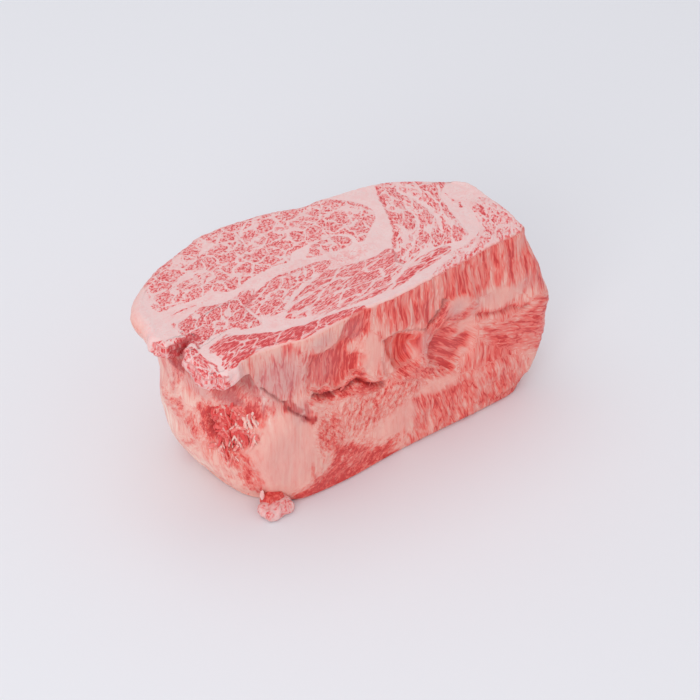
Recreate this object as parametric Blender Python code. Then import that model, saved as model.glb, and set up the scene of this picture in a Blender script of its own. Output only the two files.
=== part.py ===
"""Raw beef chuck roll: one marbled block, cut flat on top and below and squared along its front.

The block is one closed loft. Three outlines with matching points, at the top edge, the waist
and the foot, are joined up the height, and the top and the base close in rings. Cracks, the
torn pocket and the sunken muscles are relief in its walls. A torn scrap at the foot of the
front left corner is fused on by a Boolean union.

Metres, +Z up. X runs along the block, Y to the back, and the base lies on z = 0.
"""

import math

import bpy
import numpy as np
from mathutils import Vector, noise

# Driving dimensions, in metres.
HEIGHT = 0.082
WAIST_HEIGHT = 0.043
WAIST_ROUNDING = 0.4
LIP_THICKNESS = 0.0060
LIP_UNDERCUT_HEIGHT = 0.0035
RIM_OVERHANG_HEIGHTS = (0.058, 0.078)
FAT_RIM_RADIUS = 0.004
TORN_EDGE_RADIUS = 0.0022
CUT_EDGE_RADIUS = 0.0013
FOOT_RADIUS = 0.002
FLAP_DROOP = 0.0024
TOP_UNEVENNESS = 0.0006
WALL_UNEVENNESS = 0.0009

# Facets.
FRONT_FACET_WIDTH = 0.0035
BACK_FACET_WIDTH = 0.0056
WALL_RING_SPACING = 0.0027
LIP_RING_SPACING = 0.0014
ROUND_STEPS = 3
TOP_RING_SCALES = (0.96, 0.89, 0.77, 0.6, 0.4, 0.2)
BASE_RING_SCALES = (0.85, 0.5)

# The outlines, as (x, y) of the top edge, of the waist and of the foot. They start at the left
# end and run over the back, round the right end and along the front to the torn left end.
OUTLINE_POINTS = (
    # The fat rim of the left end and the round back.
    ((-0.0802, 0.0045), (-0.0672, 0.0045), (-0.0550, 0.0040)),
    ((-0.0772, 0.0152), (-0.0660, 0.0150), (-0.0540, 0.0170)),
    ((-0.0670, 0.0268), (-0.0590, 0.0260), (-0.0490, 0.0270)),
    ((-0.0500, 0.0360), (-0.0460, 0.0360), (-0.0380, 0.0340)),
    ((-0.0260, 0.0432), (-0.0250, 0.0430), (-0.0200, 0.0385)),
    ((-0.0020, 0.0424), (-0.0020, 0.0435), (0.0000, 0.0390)),
    ((0.0240, 0.0350), (0.0240, 0.0385), (0.0240, 0.0360)),
    ((0.0510, 0.0300), (0.0510, 0.0335), (0.0480, 0.0320)),
    # The right end, which swells out below its top edge.
    ((0.0635, 0.0248), (0.0670, 0.0275), (0.0630, 0.0260)),
    ((0.0760, 0.0138), (0.0820, 0.0165), (0.0740, 0.0150)),
    ((0.0852, 0.0050), (0.0915, 0.0050), (0.0800, 0.0030)),
    ((0.0852, -0.0120), (0.0960, -0.0110), (0.0830, -0.0120)),
    ((0.0834, -0.0270), (0.0975, -0.0275), (0.0830, -0.0270)),
    ((0.0795, -0.0350), (0.0920, -0.0392), (0.0760, -0.0385)),
    # The front, cut straight.
    ((0.0600, -0.0366), (0.0680, -0.0398), (0.0600, -0.0402)),
    ((0.0360, -0.0385), (0.0400, -0.0395), (0.0360, -0.0398)),
    ((0.0120, -0.0400), (0.0140, -0.0400), (0.0120, -0.0395)),
    ((-0.0120, -0.0392), (-0.0120, -0.0395), (-0.0120, -0.0408)),
    ((-0.0340, -0.0402), (-0.0320, -0.0395), (-0.0280, -0.0400)),
    ((-0.0440, -0.0370), (-0.0420, -0.0385), (-0.0370, -0.0383)),
    ((-0.0570, -0.0362), (-0.0510, -0.0360), (-0.0440, -0.0325)),
    # The flap, the notch beside it and the small lobe.
    ((-0.0680, -0.0392), (-0.0568, -0.0320), (-0.0480, -0.0285)),
    ((-0.0750, -0.0382), (-0.0605, -0.0280), (-0.0508, -0.0248)),
    ((-0.0778, -0.0330), (-0.0632, -0.0230), (-0.0528, -0.0205)),
    ((-0.0775, -0.0220), (-0.0652, -0.0175), (-0.0538, -0.0158)),
    ((-0.0762, -0.0165), (-0.0662, -0.0135), (-0.0545, -0.0120)),
    ((-0.0690, -0.0132), (-0.0668, -0.0105), (-0.0548, -0.0092)),
    ((-0.0775, -0.0125), (-0.0671, -0.0080), (-0.0550, -0.0068)),
    ((-0.0816, -0.0085), (-0.0674, -0.0045), (-0.0551, -0.0040)),
    ((-0.0818, -0.0030), (-0.0674, -0.0010), (-0.0552, -0.0008)),
)

# Cracks of the front wall: the (x, z) points of each, its half width and its depth.
FRONT_CRACKS = (
    (((-0.0310, 0.0510), (-0.0200, 0.0465), (-0.0090, 0.0475), (0.0040, 0.0400)), 0.0026, 0.0045),
    (((-0.0570, 0.0690), (-0.0450, 0.0545), (-0.0310, 0.0405)), 0.0018, 0.0026),
    (((0.0260, 0.0570), (0.0360, 0.0665)), 0.0018, 0.0018),
    (((0.0540, 0.0520), (0.0850, 0.0440)), 0.0018, 0.0016),
)

# Sunken places of the front wall: the (x, z) centre, the half width and half height, the depth.
FRONT_HOLLOWS = (
    ((0.0135, 0.0520), (0.0082, 0.0100), 0.0050),
    ((0.0400, 0.0420), (0.0115, 0.0110), 0.0022),
    ((-0.0200, 0.0600), (0.0140, 0.0110), 0.0022),
)

# Swollen fat of the front wall, given in the same way.
FRONT_SWELLINGS = (
    ((0.0430, 0.0600), (0.0100, 0.0070), 0.0014),
    ((0.0450, 0.0140), (0.0300, 0.0130), 0.0012),
    ((-0.0420, 0.0250), (0.0160, 0.0230), 0.0012),
)

# The torn shreds of the front left corner, under the flap.
SHRED_CENTRE = (-0.0580, -0.0320, 0.0470)
SHRED_RADIUS = 0.0150
SHRED_DEPTH = 0.0024
SHRED_SIZE = 0.0055

# The scrap at the foot: the centre and the half sizes of its torn strip and of its pad.
SCRAP_LUMPS = (
    ((-0.0482, -0.0332, 0.0052), (0.0056, 0.0062, 0.0058)),
    ((-0.0492, -0.0380, 0.0028), (0.0076, 0.0056, 0.0042)),
)
SCRAP_CLEARANCE = 0.0003
SCRAP_SQUARENESS = 0.6
SCRAP_ROUGHNESS = 0.0016
SCRAP_GRAIN = 0.0034


def clear_scene():
    """Remove the objects that the file opens with."""
    for old in list(bpy.data.objects):
        bpy.data.objects.remove(old, do_unlink=True)


def smooth_step(low, high, value):
    """Ease from 0 at low to 1 at high."""
    share = np.clip((value - low) / (high - low), 0.0, 1.0)
    return share * share * (3.0 - 2.0 * share)


def closed_spline(points, steps):
    """Catmull-Rom curve through a closed row of points, with steps[i] samples after point i."""
    rows = []
    count = len(points)
    for index in range(count):
        before, start, end, after = (points[(index + shift) % count] for shift in (-1, 0, 1, 2))
        for sample in range(steps[index]):
            t = sample / steps[index]
            rows.append(
                start
                + 0.5 * t * (end - before)
                + t * t * (before - 2.5 * start + 2.0 * end - 0.5 * after)
                + t * t * t * (1.5 * (start - end) + 0.5 * (after - before))
            )
    return np.array(rows)


def outline_rings():
    """The top edge, the waist and the foot, each sampled at the same places around."""
    top, waist, foot = (np.array([row[level] for row in OUTLINE_POINTS]) for level in range(3))
    lengths = np.linalg.norm(np.roll(top, -1, axis=0) - top, axis=1)
    facet_widths = np.where(top[:, 1] < 0.0, FRONT_FACET_WIDTH, BACK_FACET_WIDTH)
    steps = np.maximum(2, np.round(lengths / facet_widths)).astype(int)
    return [closed_spline(outline, steps) for outline in (top, waist, foot)]


def outward_normals(ring):
    """Unit normals of a ring in plan, pointing out of it. The ring runs clockwise from above."""
    along = np.roll(ring, -1, axis=0) - np.roll(ring, 1, axis=0)
    normals = np.stack([-along[:, 1], along[:, 0]], axis=1)
    return normals / np.linalg.norm(normals, axis=1, keepdims=True)


def waviness(points, size, seed):
    """Soft noise between about -1 and 1 at each point, for bumps of the given size."""
    shift = Vector((seed * 7.3, seed * 3.1, seed * 5.7))
    return np.array([noise.noise(Vector(point) / size + shift) for point in points])


def crack_depth(x, z, crack):
    """How deep one crack is at a place of the front wall."""
    path, half_width, depth = crack
    nearest = np.full(x.shape, np.inf)
    for (x0, z0), (x1, z1) in zip(path, path[1:]):
        run_x, run_z = x1 - x0, z1 - z0
        share = ((x - x0) * run_x + (z - z0) * run_z) / (run_x ** 2 + run_z ** 2)
        share = np.clip(share, 0.0, 1.0)
        nearest = np.minimum(nearest, np.hypot(x - x0 - share * run_x, z - z0 - share * run_z))
    return depth * (1.0 - smooth_step(0.0, 2.0 * half_width, nearest))


def patch_depth(x, z, patch):
    """How deep a hollow, or how high a swelling, is at a place of the front wall."""
    (centre_x, centre_z), (half_width, half_height), depth = patch
    across = np.abs(x - centre_x) / half_width
    up = np.abs(z - centre_z) / half_height
    radius = across ** 3 + up ** 3
    return depth * (1.0 - smooth_step(0.1, 1.6, radius))


def front_relief(x, z):
    """Cracks and hollows go into the front wall, and swollen fat stands out of it."""
    depth = np.zeros(x.shape)
    for crack in FRONT_CRACKS:
        depth = np.maximum(depth, crack_depth(x, z, crack))
    for hollow in FRONT_HOLLOWS:
        depth = np.maximum(depth, patch_depth(x, z, hollow))
    for swelling in FRONT_SWELLINGS:
        depth = depth - patch_depth(x, z, swelling)
    return depth


def torn_share(top):
    """1 along the flap and the lobe of the torn left end, 0 elsewhere."""
    return smooth_step(-0.060, -0.066, top[:, 0]) * smooth_step(0.006, -0.002, top[:, 1])


def wall_ring(height, top, waist, foot):
    """The ring of the wall at one height, with its overhangs and relief."""
    if height <= WAIST_HEIGHT:
        share = 1.0 - (1.0 - height / WAIST_HEIGHT) ** 3
        ring = foot + (waist - foot) * share
    else:
        even = (height - WAIST_HEIGHT) / (HEIGHT - WAIST_HEIGHT)
        even += WAIST_ROUNDING * (smooth_step(0.0, 1.0, even) - even)
        rim = smooth_step(*RIM_OVERHANG_HEIGHTS, height)
        lip_top = HEIGHT - LIP_THICKNESS
        lip = smooth_step(lip_top - LIP_UNDERCUT_HEIGHT, lip_top, height)
        left = smooth_step(-0.035, -0.060, top[:, 0])
        torn = torn_share(top)
        share = even + (rim - even) * left
        share = share + (lip - share) * torn
        ring = waist + (top - waist) * share[:, None]
    normals = outward_normals(ring)
    points = np.column_stack([ring, np.full(len(ring), height)])
    facing_front = smooth_step(0.5, 0.9, -normals[:, 1])
    push = -front_relief(ring[:, 0], points[:, 2]) * facing_front
    edge_fade = smooth_step(0.0, 0.006, height) * smooth_step(HEIGHT, HEIGHT - 0.006, height)
    push = push + WALL_UNEVENNESS * waviness(points, 0.011, 1) * edge_fade
    distance = np.linalg.norm(points - np.array(SHRED_CENTRE), axis=1)
    shreds = smooth_step(SHRED_RADIUS, 0.5 * SHRED_RADIUS, distance)
    push = push + SHRED_DEPTH * shreds * waviness(points, SHRED_SIZE, 2)
    points[:, :2] += normals * push[:, None]
    return points


def top_height(x, y):
    """Height of the top face: a little uneven, and lower where the flap droops."""
    flap = smooth_step(-0.063, -0.077, x) * smooth_step(-0.020, -0.036, y)
    lobe = smooth_step(-0.073, -0.082, x) * smooth_step(0.002, -0.009, y)
    uneven = waviness(np.column_stack([x, y, np.zeros(x.shape)]), 0.018, 3)
    return HEIGHT + TOP_UNEVENNESS * (uneven - 1.0) - FLAP_DROOP * (flap + 0.4 * lobe)


def edge_radius(top):
    """Rounding of the top edge: wide on the fat rim of the left end and back, less where torn."""
    fat = smooth_step(-0.004, 0.006, top[:, 1]) * smooth_step(0.045, 0.020, top[:, 0])
    radius = CUT_EDGE_RADIUS + (FAT_RIM_RADIUS - CUT_EDGE_RADIUS) * fat
    return np.maximum(radius, TORN_EDGE_RADIUS * torn_share(top))


def block_rings():
    """All the rings of the loft, from the middle of the base up the wall and in over the top."""
    top, waist, foot = outline_rings()
    rings = []
    foot_normals = outward_normals(foot)
    base = foot - FOOT_RADIUS * foot_normals
    for scale in reversed(BASE_RING_SCALES):
        rings.append(np.column_stack([base * scale, np.zeros(len(base))]))
    for step in range(ROUND_STEPS):
        angle = 0.5 * math.pi * step / ROUND_STEPS
        height = FOOT_RADIUS * (1.0 - math.cos(angle))
        ring = wall_ring(FOOT_RADIUS, top, waist, foot)
        inset = FOOT_RADIUS * (1.0 - math.sin(angle))
        ring[:, :2] -= foot_normals * inset
        ring[:, 2] = height
        rings.append(ring)

    radius = edge_radius(top)
    lip_base = HEIGHT - LIP_THICKNESS - LIP_UNDERCUT_HEIGHT
    last_height = HEIGHT - FAT_RIM_RADIUS
    wall_heights = np.arange(FOOT_RADIUS, lip_base, WALL_RING_SPACING)
    lip_heights = np.arange(lip_base, last_height + 0.5 * LIP_RING_SPACING, LIP_RING_SPACING)
    lift = top_height(top[:, 0], top[:, 1]) - HEIGHT
    for height in np.concatenate([wall_heights, lip_heights]):
        ring = wall_ring(height, top, waist, foot)
        ring[:, 2] += lift * smooth_step(HEIGHT - 0.020, last_height, height)
        rings.append(ring)

    top_normals = outward_normals(top)
    for step in range(1, ROUND_STEPS + 1):
        angle = 0.5 * math.pi * step / ROUND_STEPS
        ring = wall_ring(HEIGHT, top, waist, foot)
        ring[:, :2] -= top_normals * (radius * (1.0 - math.cos(angle)))[:, None]
        ring[:, 2] = HEIGHT + lift - radius * (1.0 - math.sin(angle))
        rings.append(ring)
    edge = rings[-1]
    for scale in TOP_RING_SCALES:
        plan = edge[:, :2] * scale
        rings.append(np.column_stack([plan, top_height(plan[:, 0], plan[:, 1])]))
    return rings


def loft_mesh(name, rings):
    """Join closed rings with quads and close both ends with a fan of triangles."""
    around = len(rings[0])
    first = rings[0].mean(axis=0)
    last = rings[-1].mean(axis=0)
    points = np.vstack(list(rings) + [first, last])
    faces = []
    for level in range(len(rings) - 1):
        for side in range(around):
            after = (side + 1) % around
            below, above = level * around, (level + 1) * around
            faces.append((below + side, above + side, above + after, below + after))
    bottom_centre = len(points) - 2
    top_centre = len(points) - 1
    last_ring = (len(rings) - 1) * around
    for side in range(around):
        after = (side + 1) % around
        faces.append((bottom_centre, side, after))
        faces.append((top_centre, last_ring + after, last_ring + side))
    mesh = bpy.data.meshes.new(name)
    mesh.from_pydata(points.tolist(), [], faces)
    mesh.update()
    return mesh


def beef_material():
    """Raw marbled beef, seen as one mean colour."""
    material = bpy.data.materials.new("marbled_beef")
    material.use_nodes = True
    shader = material.node_tree.nodes["Principled BSDF"]
    shader.inputs["Base Color"].default_value = (0.68, 0.29, 0.27, 1.0)
    shader.inputs["Roughness"].default_value = 0.42
    shader.inputs["Metallic"].default_value = 0.0
    return material


def make_block(collection, material):
    """The block itself, from its rings."""
    block = bpy.data.objects.new("chuck_roll_block", loft_mesh("chuck_roll_block", block_rings()))
    block.data.materials.append(material)
    block.data.shade_smooth()
    collection.objects.link(block)
    return block


def make_lump(number, collection, centre, half_sizes):
    """One rough lump of the scrap, squarish, and flat where it would pass below the floor."""
    bpy.ops.mesh.primitive_ico_sphere_add(subdivisions=4, radius=1.0)
    lump = bpy.context.object
    lump.name = f"scrap_lump_{number}"
    for vertex in lump.data.vertices:
        way = vertex.co.normalized()
        reach = 1.0 + SCRAP_SQUARENESS * (1.0 - max(abs(way.x), abs(way.y), abs(way.z)))
        point = Vector(middle + size * unit * reach
                       for middle, size, unit in zip(centre, half_sizes, way))
        point += way * SCRAP_ROUGHNESS * noise.noise(point / SCRAP_GRAIN)
        vertex.co = (point.x, point.y, max(point.z, SCRAP_CLEARANCE))
    for old in list(lump.users_collection):
        old.objects.unlink(lump)
    collection.objects.link(lump)
    lump.hide_render = True
    lump.display_type = "WIRE"
    return lump


def fuse(block, lumps):
    """Join the lumps of the scrap to the block."""
    for lump in lumps:
        union = block.modifiers.new("join_" + lump.name, "BOOLEAN")
        union.operation = "UNION"
        union.solver = "EXACT"
        union.object = lump


def main():
    clear_scene()
    parts = bpy.data.collections.new("beef_chuck_roll")
    cutters = bpy.data.collections.new("beef_chuck_roll_joined_lumps")
    bpy.context.scene.collection.children.link(parts)
    bpy.context.scene.collection.children.link(cutters)
    block = make_block(parts, beef_material())
    lumps = [
        make_lump(number, cutters, centre, half_sizes)
        for number, (centre, half_sizes) in enumerate(SCRAP_LUMPS, start=1)
    ]
    fuse(block, lumps)


main()
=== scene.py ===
import itertools
import math

import bpy
import numpy as np
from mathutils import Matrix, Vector


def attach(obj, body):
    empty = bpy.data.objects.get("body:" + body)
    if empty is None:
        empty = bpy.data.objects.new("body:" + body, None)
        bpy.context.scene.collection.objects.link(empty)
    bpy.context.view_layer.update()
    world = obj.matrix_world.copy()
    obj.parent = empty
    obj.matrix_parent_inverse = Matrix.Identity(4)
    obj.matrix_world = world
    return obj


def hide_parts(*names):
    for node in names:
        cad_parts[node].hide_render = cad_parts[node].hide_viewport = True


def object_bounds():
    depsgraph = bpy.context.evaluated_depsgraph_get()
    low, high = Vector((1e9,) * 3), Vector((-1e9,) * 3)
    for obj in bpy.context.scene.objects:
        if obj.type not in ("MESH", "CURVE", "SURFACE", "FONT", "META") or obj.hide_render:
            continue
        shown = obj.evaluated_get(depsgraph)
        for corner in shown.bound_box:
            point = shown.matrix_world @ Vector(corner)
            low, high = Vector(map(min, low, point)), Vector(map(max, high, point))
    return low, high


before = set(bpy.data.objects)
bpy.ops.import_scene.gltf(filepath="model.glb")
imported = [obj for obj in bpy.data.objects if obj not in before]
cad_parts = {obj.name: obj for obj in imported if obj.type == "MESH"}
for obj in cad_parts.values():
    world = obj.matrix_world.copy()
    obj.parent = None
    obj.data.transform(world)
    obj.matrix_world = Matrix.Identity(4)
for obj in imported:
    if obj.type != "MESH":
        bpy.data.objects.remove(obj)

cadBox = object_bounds()
millimetre = 0.001
print("frame loaded")


# maths and meshes that every piece uses

def easeStep(low, high, value):
    # 3s^2 - 2s^3 of the share s of the way from low to high, held at 0 and 1 outside
    share = np.clip((value - low) / (high - low), 0.0, 1.0)
    return share * share * (3.0 - 2.0 * share)


def unitLength(vectors):
    # each vector over its own length
    return vectors / np.linalg.norm(vectors, axis=-1, keepdims=True)


def closedCurve(points, places):
    # Catmull-Rom curve through a closed row of points; a place is a point's number plus the
    # share of the way to the next one
    points = np.asarray(points, float)
    first = np.floor(places).astype(int)
    share = (places - first)[:, None]
    before, start, end, after = (points[(first + shift) % len(points)] for shift in (-1, 0, 1, 2))
    return (start + 0.5 * share * (end - before)
            + share ** 2 * (before - 2.5 * start + 2.0 * end - 0.5 * after)
            + share ** 3 * (1.5 * (start - end) + 0.5 * (after - before)))


def softNoise(points, size, seed):
    # gradient noise: each corner of a lattice of the given size has a random direction, and
    # the value is the sum of the corners' slopes, faded by 6s^5 - 15s^4 + 10s^3 along each
    # axis and scaled to about -1 to 1; the seed picks the pattern
    shift, scale = 37.0, 1.7
    draw = np.random.default_rng(seed)
    order = draw.permutation(256)
    slopes = unitLength(draw.normal(size=(256, 3)))
    places = np.asarray(points, float) / size + shift
    cells = np.floor(places).astype(int)
    share = places - cells
    fade = share ** 3 * (share * (share * 6.0 - 15.0) + 10.0)
    total = np.zeros(places.shape[:-1])
    for corner in itertools.product((0, 1), repeat=3):
        pick = order[(cells[..., 0] + corner[0]) & 255]
        pick = order[(pick + cells[..., 1] + corner[1]) & 255]
        pick = order[(pick + cells[..., 2] + corner[2]) & 255]
        weight = np.prod(np.where(np.array(corner) == 1, fade, 1.0 - fade), axis=-1)
        total += weight * np.sum(slopes[pick] * (share - np.array(corner)), axis=-1)
    return scale * total


def roughNoise(points, size, seed, layers=3):
    # softNoise summed over halving sizes and halving heights
    return sum(softNoise(points, size / 2 ** layer, seed + layer) / 2 ** layer
               for layer in range(layers))


def lineDistance(x, y, path):
    # distance to the nearest of the straight runs of an open path
    nearest = np.full(np.shape(x), np.inf)
    for (x0, y0), (x1, y1) in zip(path, path[1:]):
        runX, runY = x1 - x0, y1 - y0
        share = np.clip(((x - x0) * runX + (y - y0) * runY) / (runX ** 2 + runY ** 2), 0.0, 1.0)
        nearest = np.minimum(nearest, np.hypot(x - x0 - share * runX, y - y0 - share * runY))
    return nearest


def depthInside(x, y, outline, roundSteps=4):
    # distance to the rounded outline, positive inside it and negative outside; a point is
    # inside if a ray along +x crosses the outline an odd number of times
    places = np.arange(len(outline) * roundSteps) / roundSteps
    corners = closedCurve(outline, places)
    inside = np.zeros(np.shape(x), bool)
    for (x0, y0), (x1, y1) in zip(corners, np.roll(corners, -1, axis=0)):
        if y0 != y1:
            inside ^= ((y0 > y) != (y1 > y)) & (x < x0 + (y - y0) * (x1 - x0) / (y1 - y0))
    return np.where(inside, 1.0, -1.0) * lineDistance(x, y, np.vstack([corners, corners[:1]]))


def spotsAt(x, y, spots, ease, together=np.maximum):
    # elliptic spots as (centre, half sizes, share): a spot's share, which eases from nothing to
    # full as the distance, over the half sizes, goes from the first to the second ease value;
    # spots that overlap count by the larger share, or by their sum
    total = np.zeros(np.shape(x))
    for (middleX, middleY), (halfX, halfY), share in spots:
        out = np.hypot((x - middleX) / halfX, (y - middleY) / halfY)
        total = together(total, share * easeStep(*ease, out))
    return total


def raised(plan, heights):
    # points from their plan and their heights
    return np.concatenate([plan, heights[..., None]], axis=-1)


def inMillimetres(points):
    # one array for each of x, y and z
    return np.moveaxis(points / millimetre, -1, 0)


def insideBox(points, margin=0.0):
    # kept inside the CAD box by a margin, which isn't kept at the floor
    low, high = np.array(cadBox[0]), np.array(cadBox[1])
    return np.clip(points, low + margin * np.array([1, 1, 0]), high - margin)


def meshFromArrays(name, points, faces):
    # one mesh object at the origin from an array of points and lists of corner numbers
    mesh = bpy.data.meshes.new(name)
    mesh.from_pydata(points.tolist(), [], faces)
    mesh.update()
    mesh.shade_smooth()
    piece = bpy.data.objects.new(name, mesh)
    bpy.context.scene.collection.objects.link(piece)
    return piece


def addVectors(piece, name, values):
    # a vector for each point of the piece, read in its material by name
    attribute = piece.data.attributes.new(name, "FLOAT_VECTOR", "POINT")
    attribute.data.foreach_set("vector", np.asarray(values, np.float32).ravel())


def tubeFaces(numbers, ends):
    # corner numbers of tubes, numbers[..., ring, side] being points: quads between the rings,
    # and a fan at each end round the point that ends[..., 0] and ends[..., 1] name
    after = np.roll(numbers, -1, axis=-1)
    quads = np.stack([numbers[..., :-1, :], after[..., :-1, :], after[..., 1:, :],
                      numbers[..., 1:, :]], axis=-1)
    faces = quads.reshape(-1, 4).tolist()
    for end, (ringA, ringB) in enumerate(((after, numbers), (numbers, after))):
        middle = np.broadcast_to(ends[..., end, None], numbers[..., 0, :].shape)
        fan = np.stack([middle, ringA[..., -end, :], ringB[..., -end, :]], axis=-1)
        faces += fan.reshape(-1, 3).tolist()
    return faces


# the block's form, in metres

blockForm = {
    "height": 0.082, "waistHeight": 0.043, "waistRounding": 0.4,
    "lipThickness": 0.0060, "lipUndercut": 0.0035, "rimOverhang": (0.058, 0.078),
    "fatRimRadius": 0.004, "tornEdgeRadius": 0.0028, "cutEdgeRadius": 0.0013,
    "footRadius": 0.002, "topUnevenness": 0.0006, "topUnevenSize": 0.018,
    "wallUnevenness": 0.0009, "wallUnevenSize": 0.011,
    "flapDroop": 0.0024, "flapX": (-0.063, -0.077), "flapY": (-0.020, -0.036),
    "lobeDroop": 0.00096, "lobeX": (-0.073, -0.082), "lobeY": (0.002, -0.009),
    # where, along x and y of the top edge, these begin and are full
    "tornX": (-0.0575, -0.0670), "tornY": (0.006, -0.002), "overhangX": (-0.035, -0.060),
    "fatRimX": (0.045, 0.020), "fatRimY": (-0.004, 0.006),
    "alongSteps": 186, "acrossSteps": 90,     # facets along the front and along an end
    "wallRows": 106, "lipRows": 5, "roundRows": 7, "footRows": 6,
    "baseRings": 19, "baseInner": 0.05, "baseOuter": 0.97,    # shares of the way to its edge
    "boxMargin": 0.00003,                     # how far the surface stays inside the CAD box
}

# (x, y) of the top edge, of the waist and of the foot, in mm, clockwise from above
blockOutline = (
    ((-80.2, 4.5), (-67.2, 4.5), (-55.0, 4.0)),    # the fat rim of the left end
    ((-77.2, 15.2), (-66.0, 15.0), (-54.0, 17.0)),
    ((-67.0, 26.8), (-59.0, 26.0), (-49.0, 27.0)),
    ((-50.0, 36.0), (-46.0, 36.0), (-38.0, 34.0)),    # the round back
    ((-26.0, 43.2), (-25.0, 43.0), (-20.0, 38.5)),
    ((-2.0, 42.4), (-2.0, 43.5), (0.0, 39.0)),
    ((24.0, 35.0), (24.0, 38.5), (24.0, 36.0)),
    ((51.0, 30.0), (51.0, 33.5), (48.0, 32.0)),
    ((63.5, 24.8), (67.0, 27.5), (63.0, 26.0)),    # the right end
    ((76.0, 13.8), (82.0, 16.5), (74.0, 15.0)),
    ((85.2, 5.0), (91.5, 5.0), (80.0, 3.0)),
    ((85.2, -12.0), (96.0, -11.0), (83.0, -12.0)),
    ((83.4, -27.0), (97.5, -27.5), (83.0, -27.0)),
    ((79.5, -35.0), (92.0, -39.2), (76.0, -38.5)),
    ((60.0, -36.6), (68.0, -39.8), (60.0, -40.2)),    # the front, cut straight
    ((36.0, -38.5), (40.0, -39.5), (36.0, -39.8)),
    ((12.0, -40.0), (14.0, -40.0), (12.0, -39.5)),
    ((-12.0, -39.2), (-12.0, -39.5), (-12.0, -40.8)),
    ((-34.0, -40.2), (-32.0, -39.5), (-28.0, -40.0)),
    ((-44.0, -37.0), (-42.0, -38.5), (-37.0, -38.3)),
    ((-57.0, -36.2), (-51.0, -36.0), (-44.0, -32.5)),
    ((-68.0, -39.2), (-56.8, -32.0), (-48.0, -28.5)),    # flap, notch and lobe
    ((-75.0, -38.2), (-60.5, -28.0), (-50.8, -24.8)),
    ((-77.8, -33.0), (-63.2, -23.0), (-52.8, -20.5)),
    ((-77.5, -22.0), (-65.2, -17.5), (-53.8, -15.8)),
    ((-76.2, -16.5), (-66.2, -13.5), (-54.5, -12.0)),
    ((-69.0, -13.2), (-66.8, -10.5), (-54.8, -9.2)),
    ((-77.5, -12.5), (-67.1, -8.0), (-55.0, -6.8)),
    ((-81.6, -8.5), (-67.4, -4.5), (-55.1, -4.0)),
    ((-81.8, -3.0), (-67.4, -1.0), (-55.2, -0.8)),
)
outlineCorners = (2, 9, 13, 22)   # the points where back, right end, front and left end begin


def outlinePlaces():
    # places along the closed outline, an even distance apart along each of its four sides;
    # the sides are measured on a fine reading of the top edge
    count, fineStep = len(blockOutline), 0.01
    edge = closedCurve([row[0] for row in blockOutline], np.arange(0, count, fineStep))
    steps = np.linalg.norm(np.roll(edge, -1, axis=0) - edge, axis=1)
    lengths = np.concatenate([[0.0], np.cumsum(np.tile(steps, 2))])
    ladder = np.arange(len(lengths)) * fineStep
    places = []
    ends = outlineCorners[1:] + (outlineCorners[0] + count,)
    sides = (blockForm["alongSteps"], blockForm["acrossSteps"]) * 2
    for start, end, facets in zip(outlineCorners, ends, sides):
        along = np.interp([start, end], ladder, lengths)
        spread = np.linspace(along[0], along[1], facets, endpoint=False)
        places.append(np.interp(spread, lengths, ladder))
    return np.concatenate(places)


def outwardNormals(rings):
    # unit normals in plan of rings of points, a quarter turn from the way along the ring
    along = np.roll(rings, -1, axis=-2) - np.roll(rings, 1, axis=-2)
    return unitLength(np.stack([-along[..., 1], along[..., 0]], axis=-1))


def tornShare(top):
    # 1 along the flap and the lobe of the torn left end, 0 elsewhere
    return easeStep(*blockForm["tornX"], top[:, 0]) * easeStep(*blockForm["tornY"], top[:, 1])


def wallPlan(height, top, waist, foot):
    # (x, y) of the wall at each height: the foot runs into the waist by 1 - (1 - s)^3, and
    # the waist into the top edge by an even share that gives way to the rim's steeper step at
    # the left end and to the lip's sudden one where it is torn
    form = blockForm
    low = 1.0 - (1.0 - np.clip(height / form["waistHeight"], 0.0, 1.0)) ** 3
    even = np.clip((height - form["waistHeight"]) / (form["height"] - form["waistHeight"]), 0, 1)
    even = even + form["waistRounding"] * (easeStep(0.0, 1.0, even) - even)
    rim = easeStep(*form["rimOverhang"], height)
    lipTop = form["height"] - form["lipThickness"]
    lip = easeStep(lipTop - form["lipUndercut"], lipTop, height)
    share = even + (rim - even) * easeStep(*form["overhangX"], top[:, 0])
    share = share + (lip - share) * tornShare(top)
    return foot + (waist - foot) * low[..., None] + (top - waist) * share[..., None]


def topHeight(x, y):
    # a little uneven, and lower where the flap and the lobe droop
    form = blockForm
    flap = easeStep(*form["flapX"], x) * easeStep(*form["flapY"], y)
    lobe = easeStep(*form["lobeX"], x) * easeStep(*form["lobeY"], y)
    uneven = softNoise(np.stack([x, y, 0.0 * x], axis=-1), form["topUnevenSize"], 3)
    return (form["height"] + form["topUnevenness"] * (uneven - 1.0)
            - form["flapDroop"] * flap - form["lobeDroop"] * lobe)


def wallRows(top, waist, foot):
    # points of the wall's rows, the last few running up to where the edge's rounding starts,
    # their normals in plan, and the radius of that rounding, which is largest on the fat rim
    form = blockForm
    fat = easeStep(*form["fatRimY"], top[:, 1]) * easeStep(*form["fatRimX"], top[:, 0])
    radius = form["cutEdgeRadius"] + (form["fatRimRadius"] - form["cutEdgeRadius"]) * fat
    radius = np.maximum(radius, form["tornEdgeRadius"] * tornShare(top))
    lastWall = form["height"] - form["fatRimRadius"]
    rows = np.linspace(form["footRadius"], lastWall, form["wallRows"])[:, None] + 0.0 * radius
    share = np.linspace(0.0, 1.0, form["lipRows"] + 1)[1:, None]
    heights = np.vstack([rows, lastWall + (form["height"] - radius - lastWall) * share])
    plan = wallPlan(heights, top, waist, foot)
    return raised(plan, heights), outwardNormals(plan), radius


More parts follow.
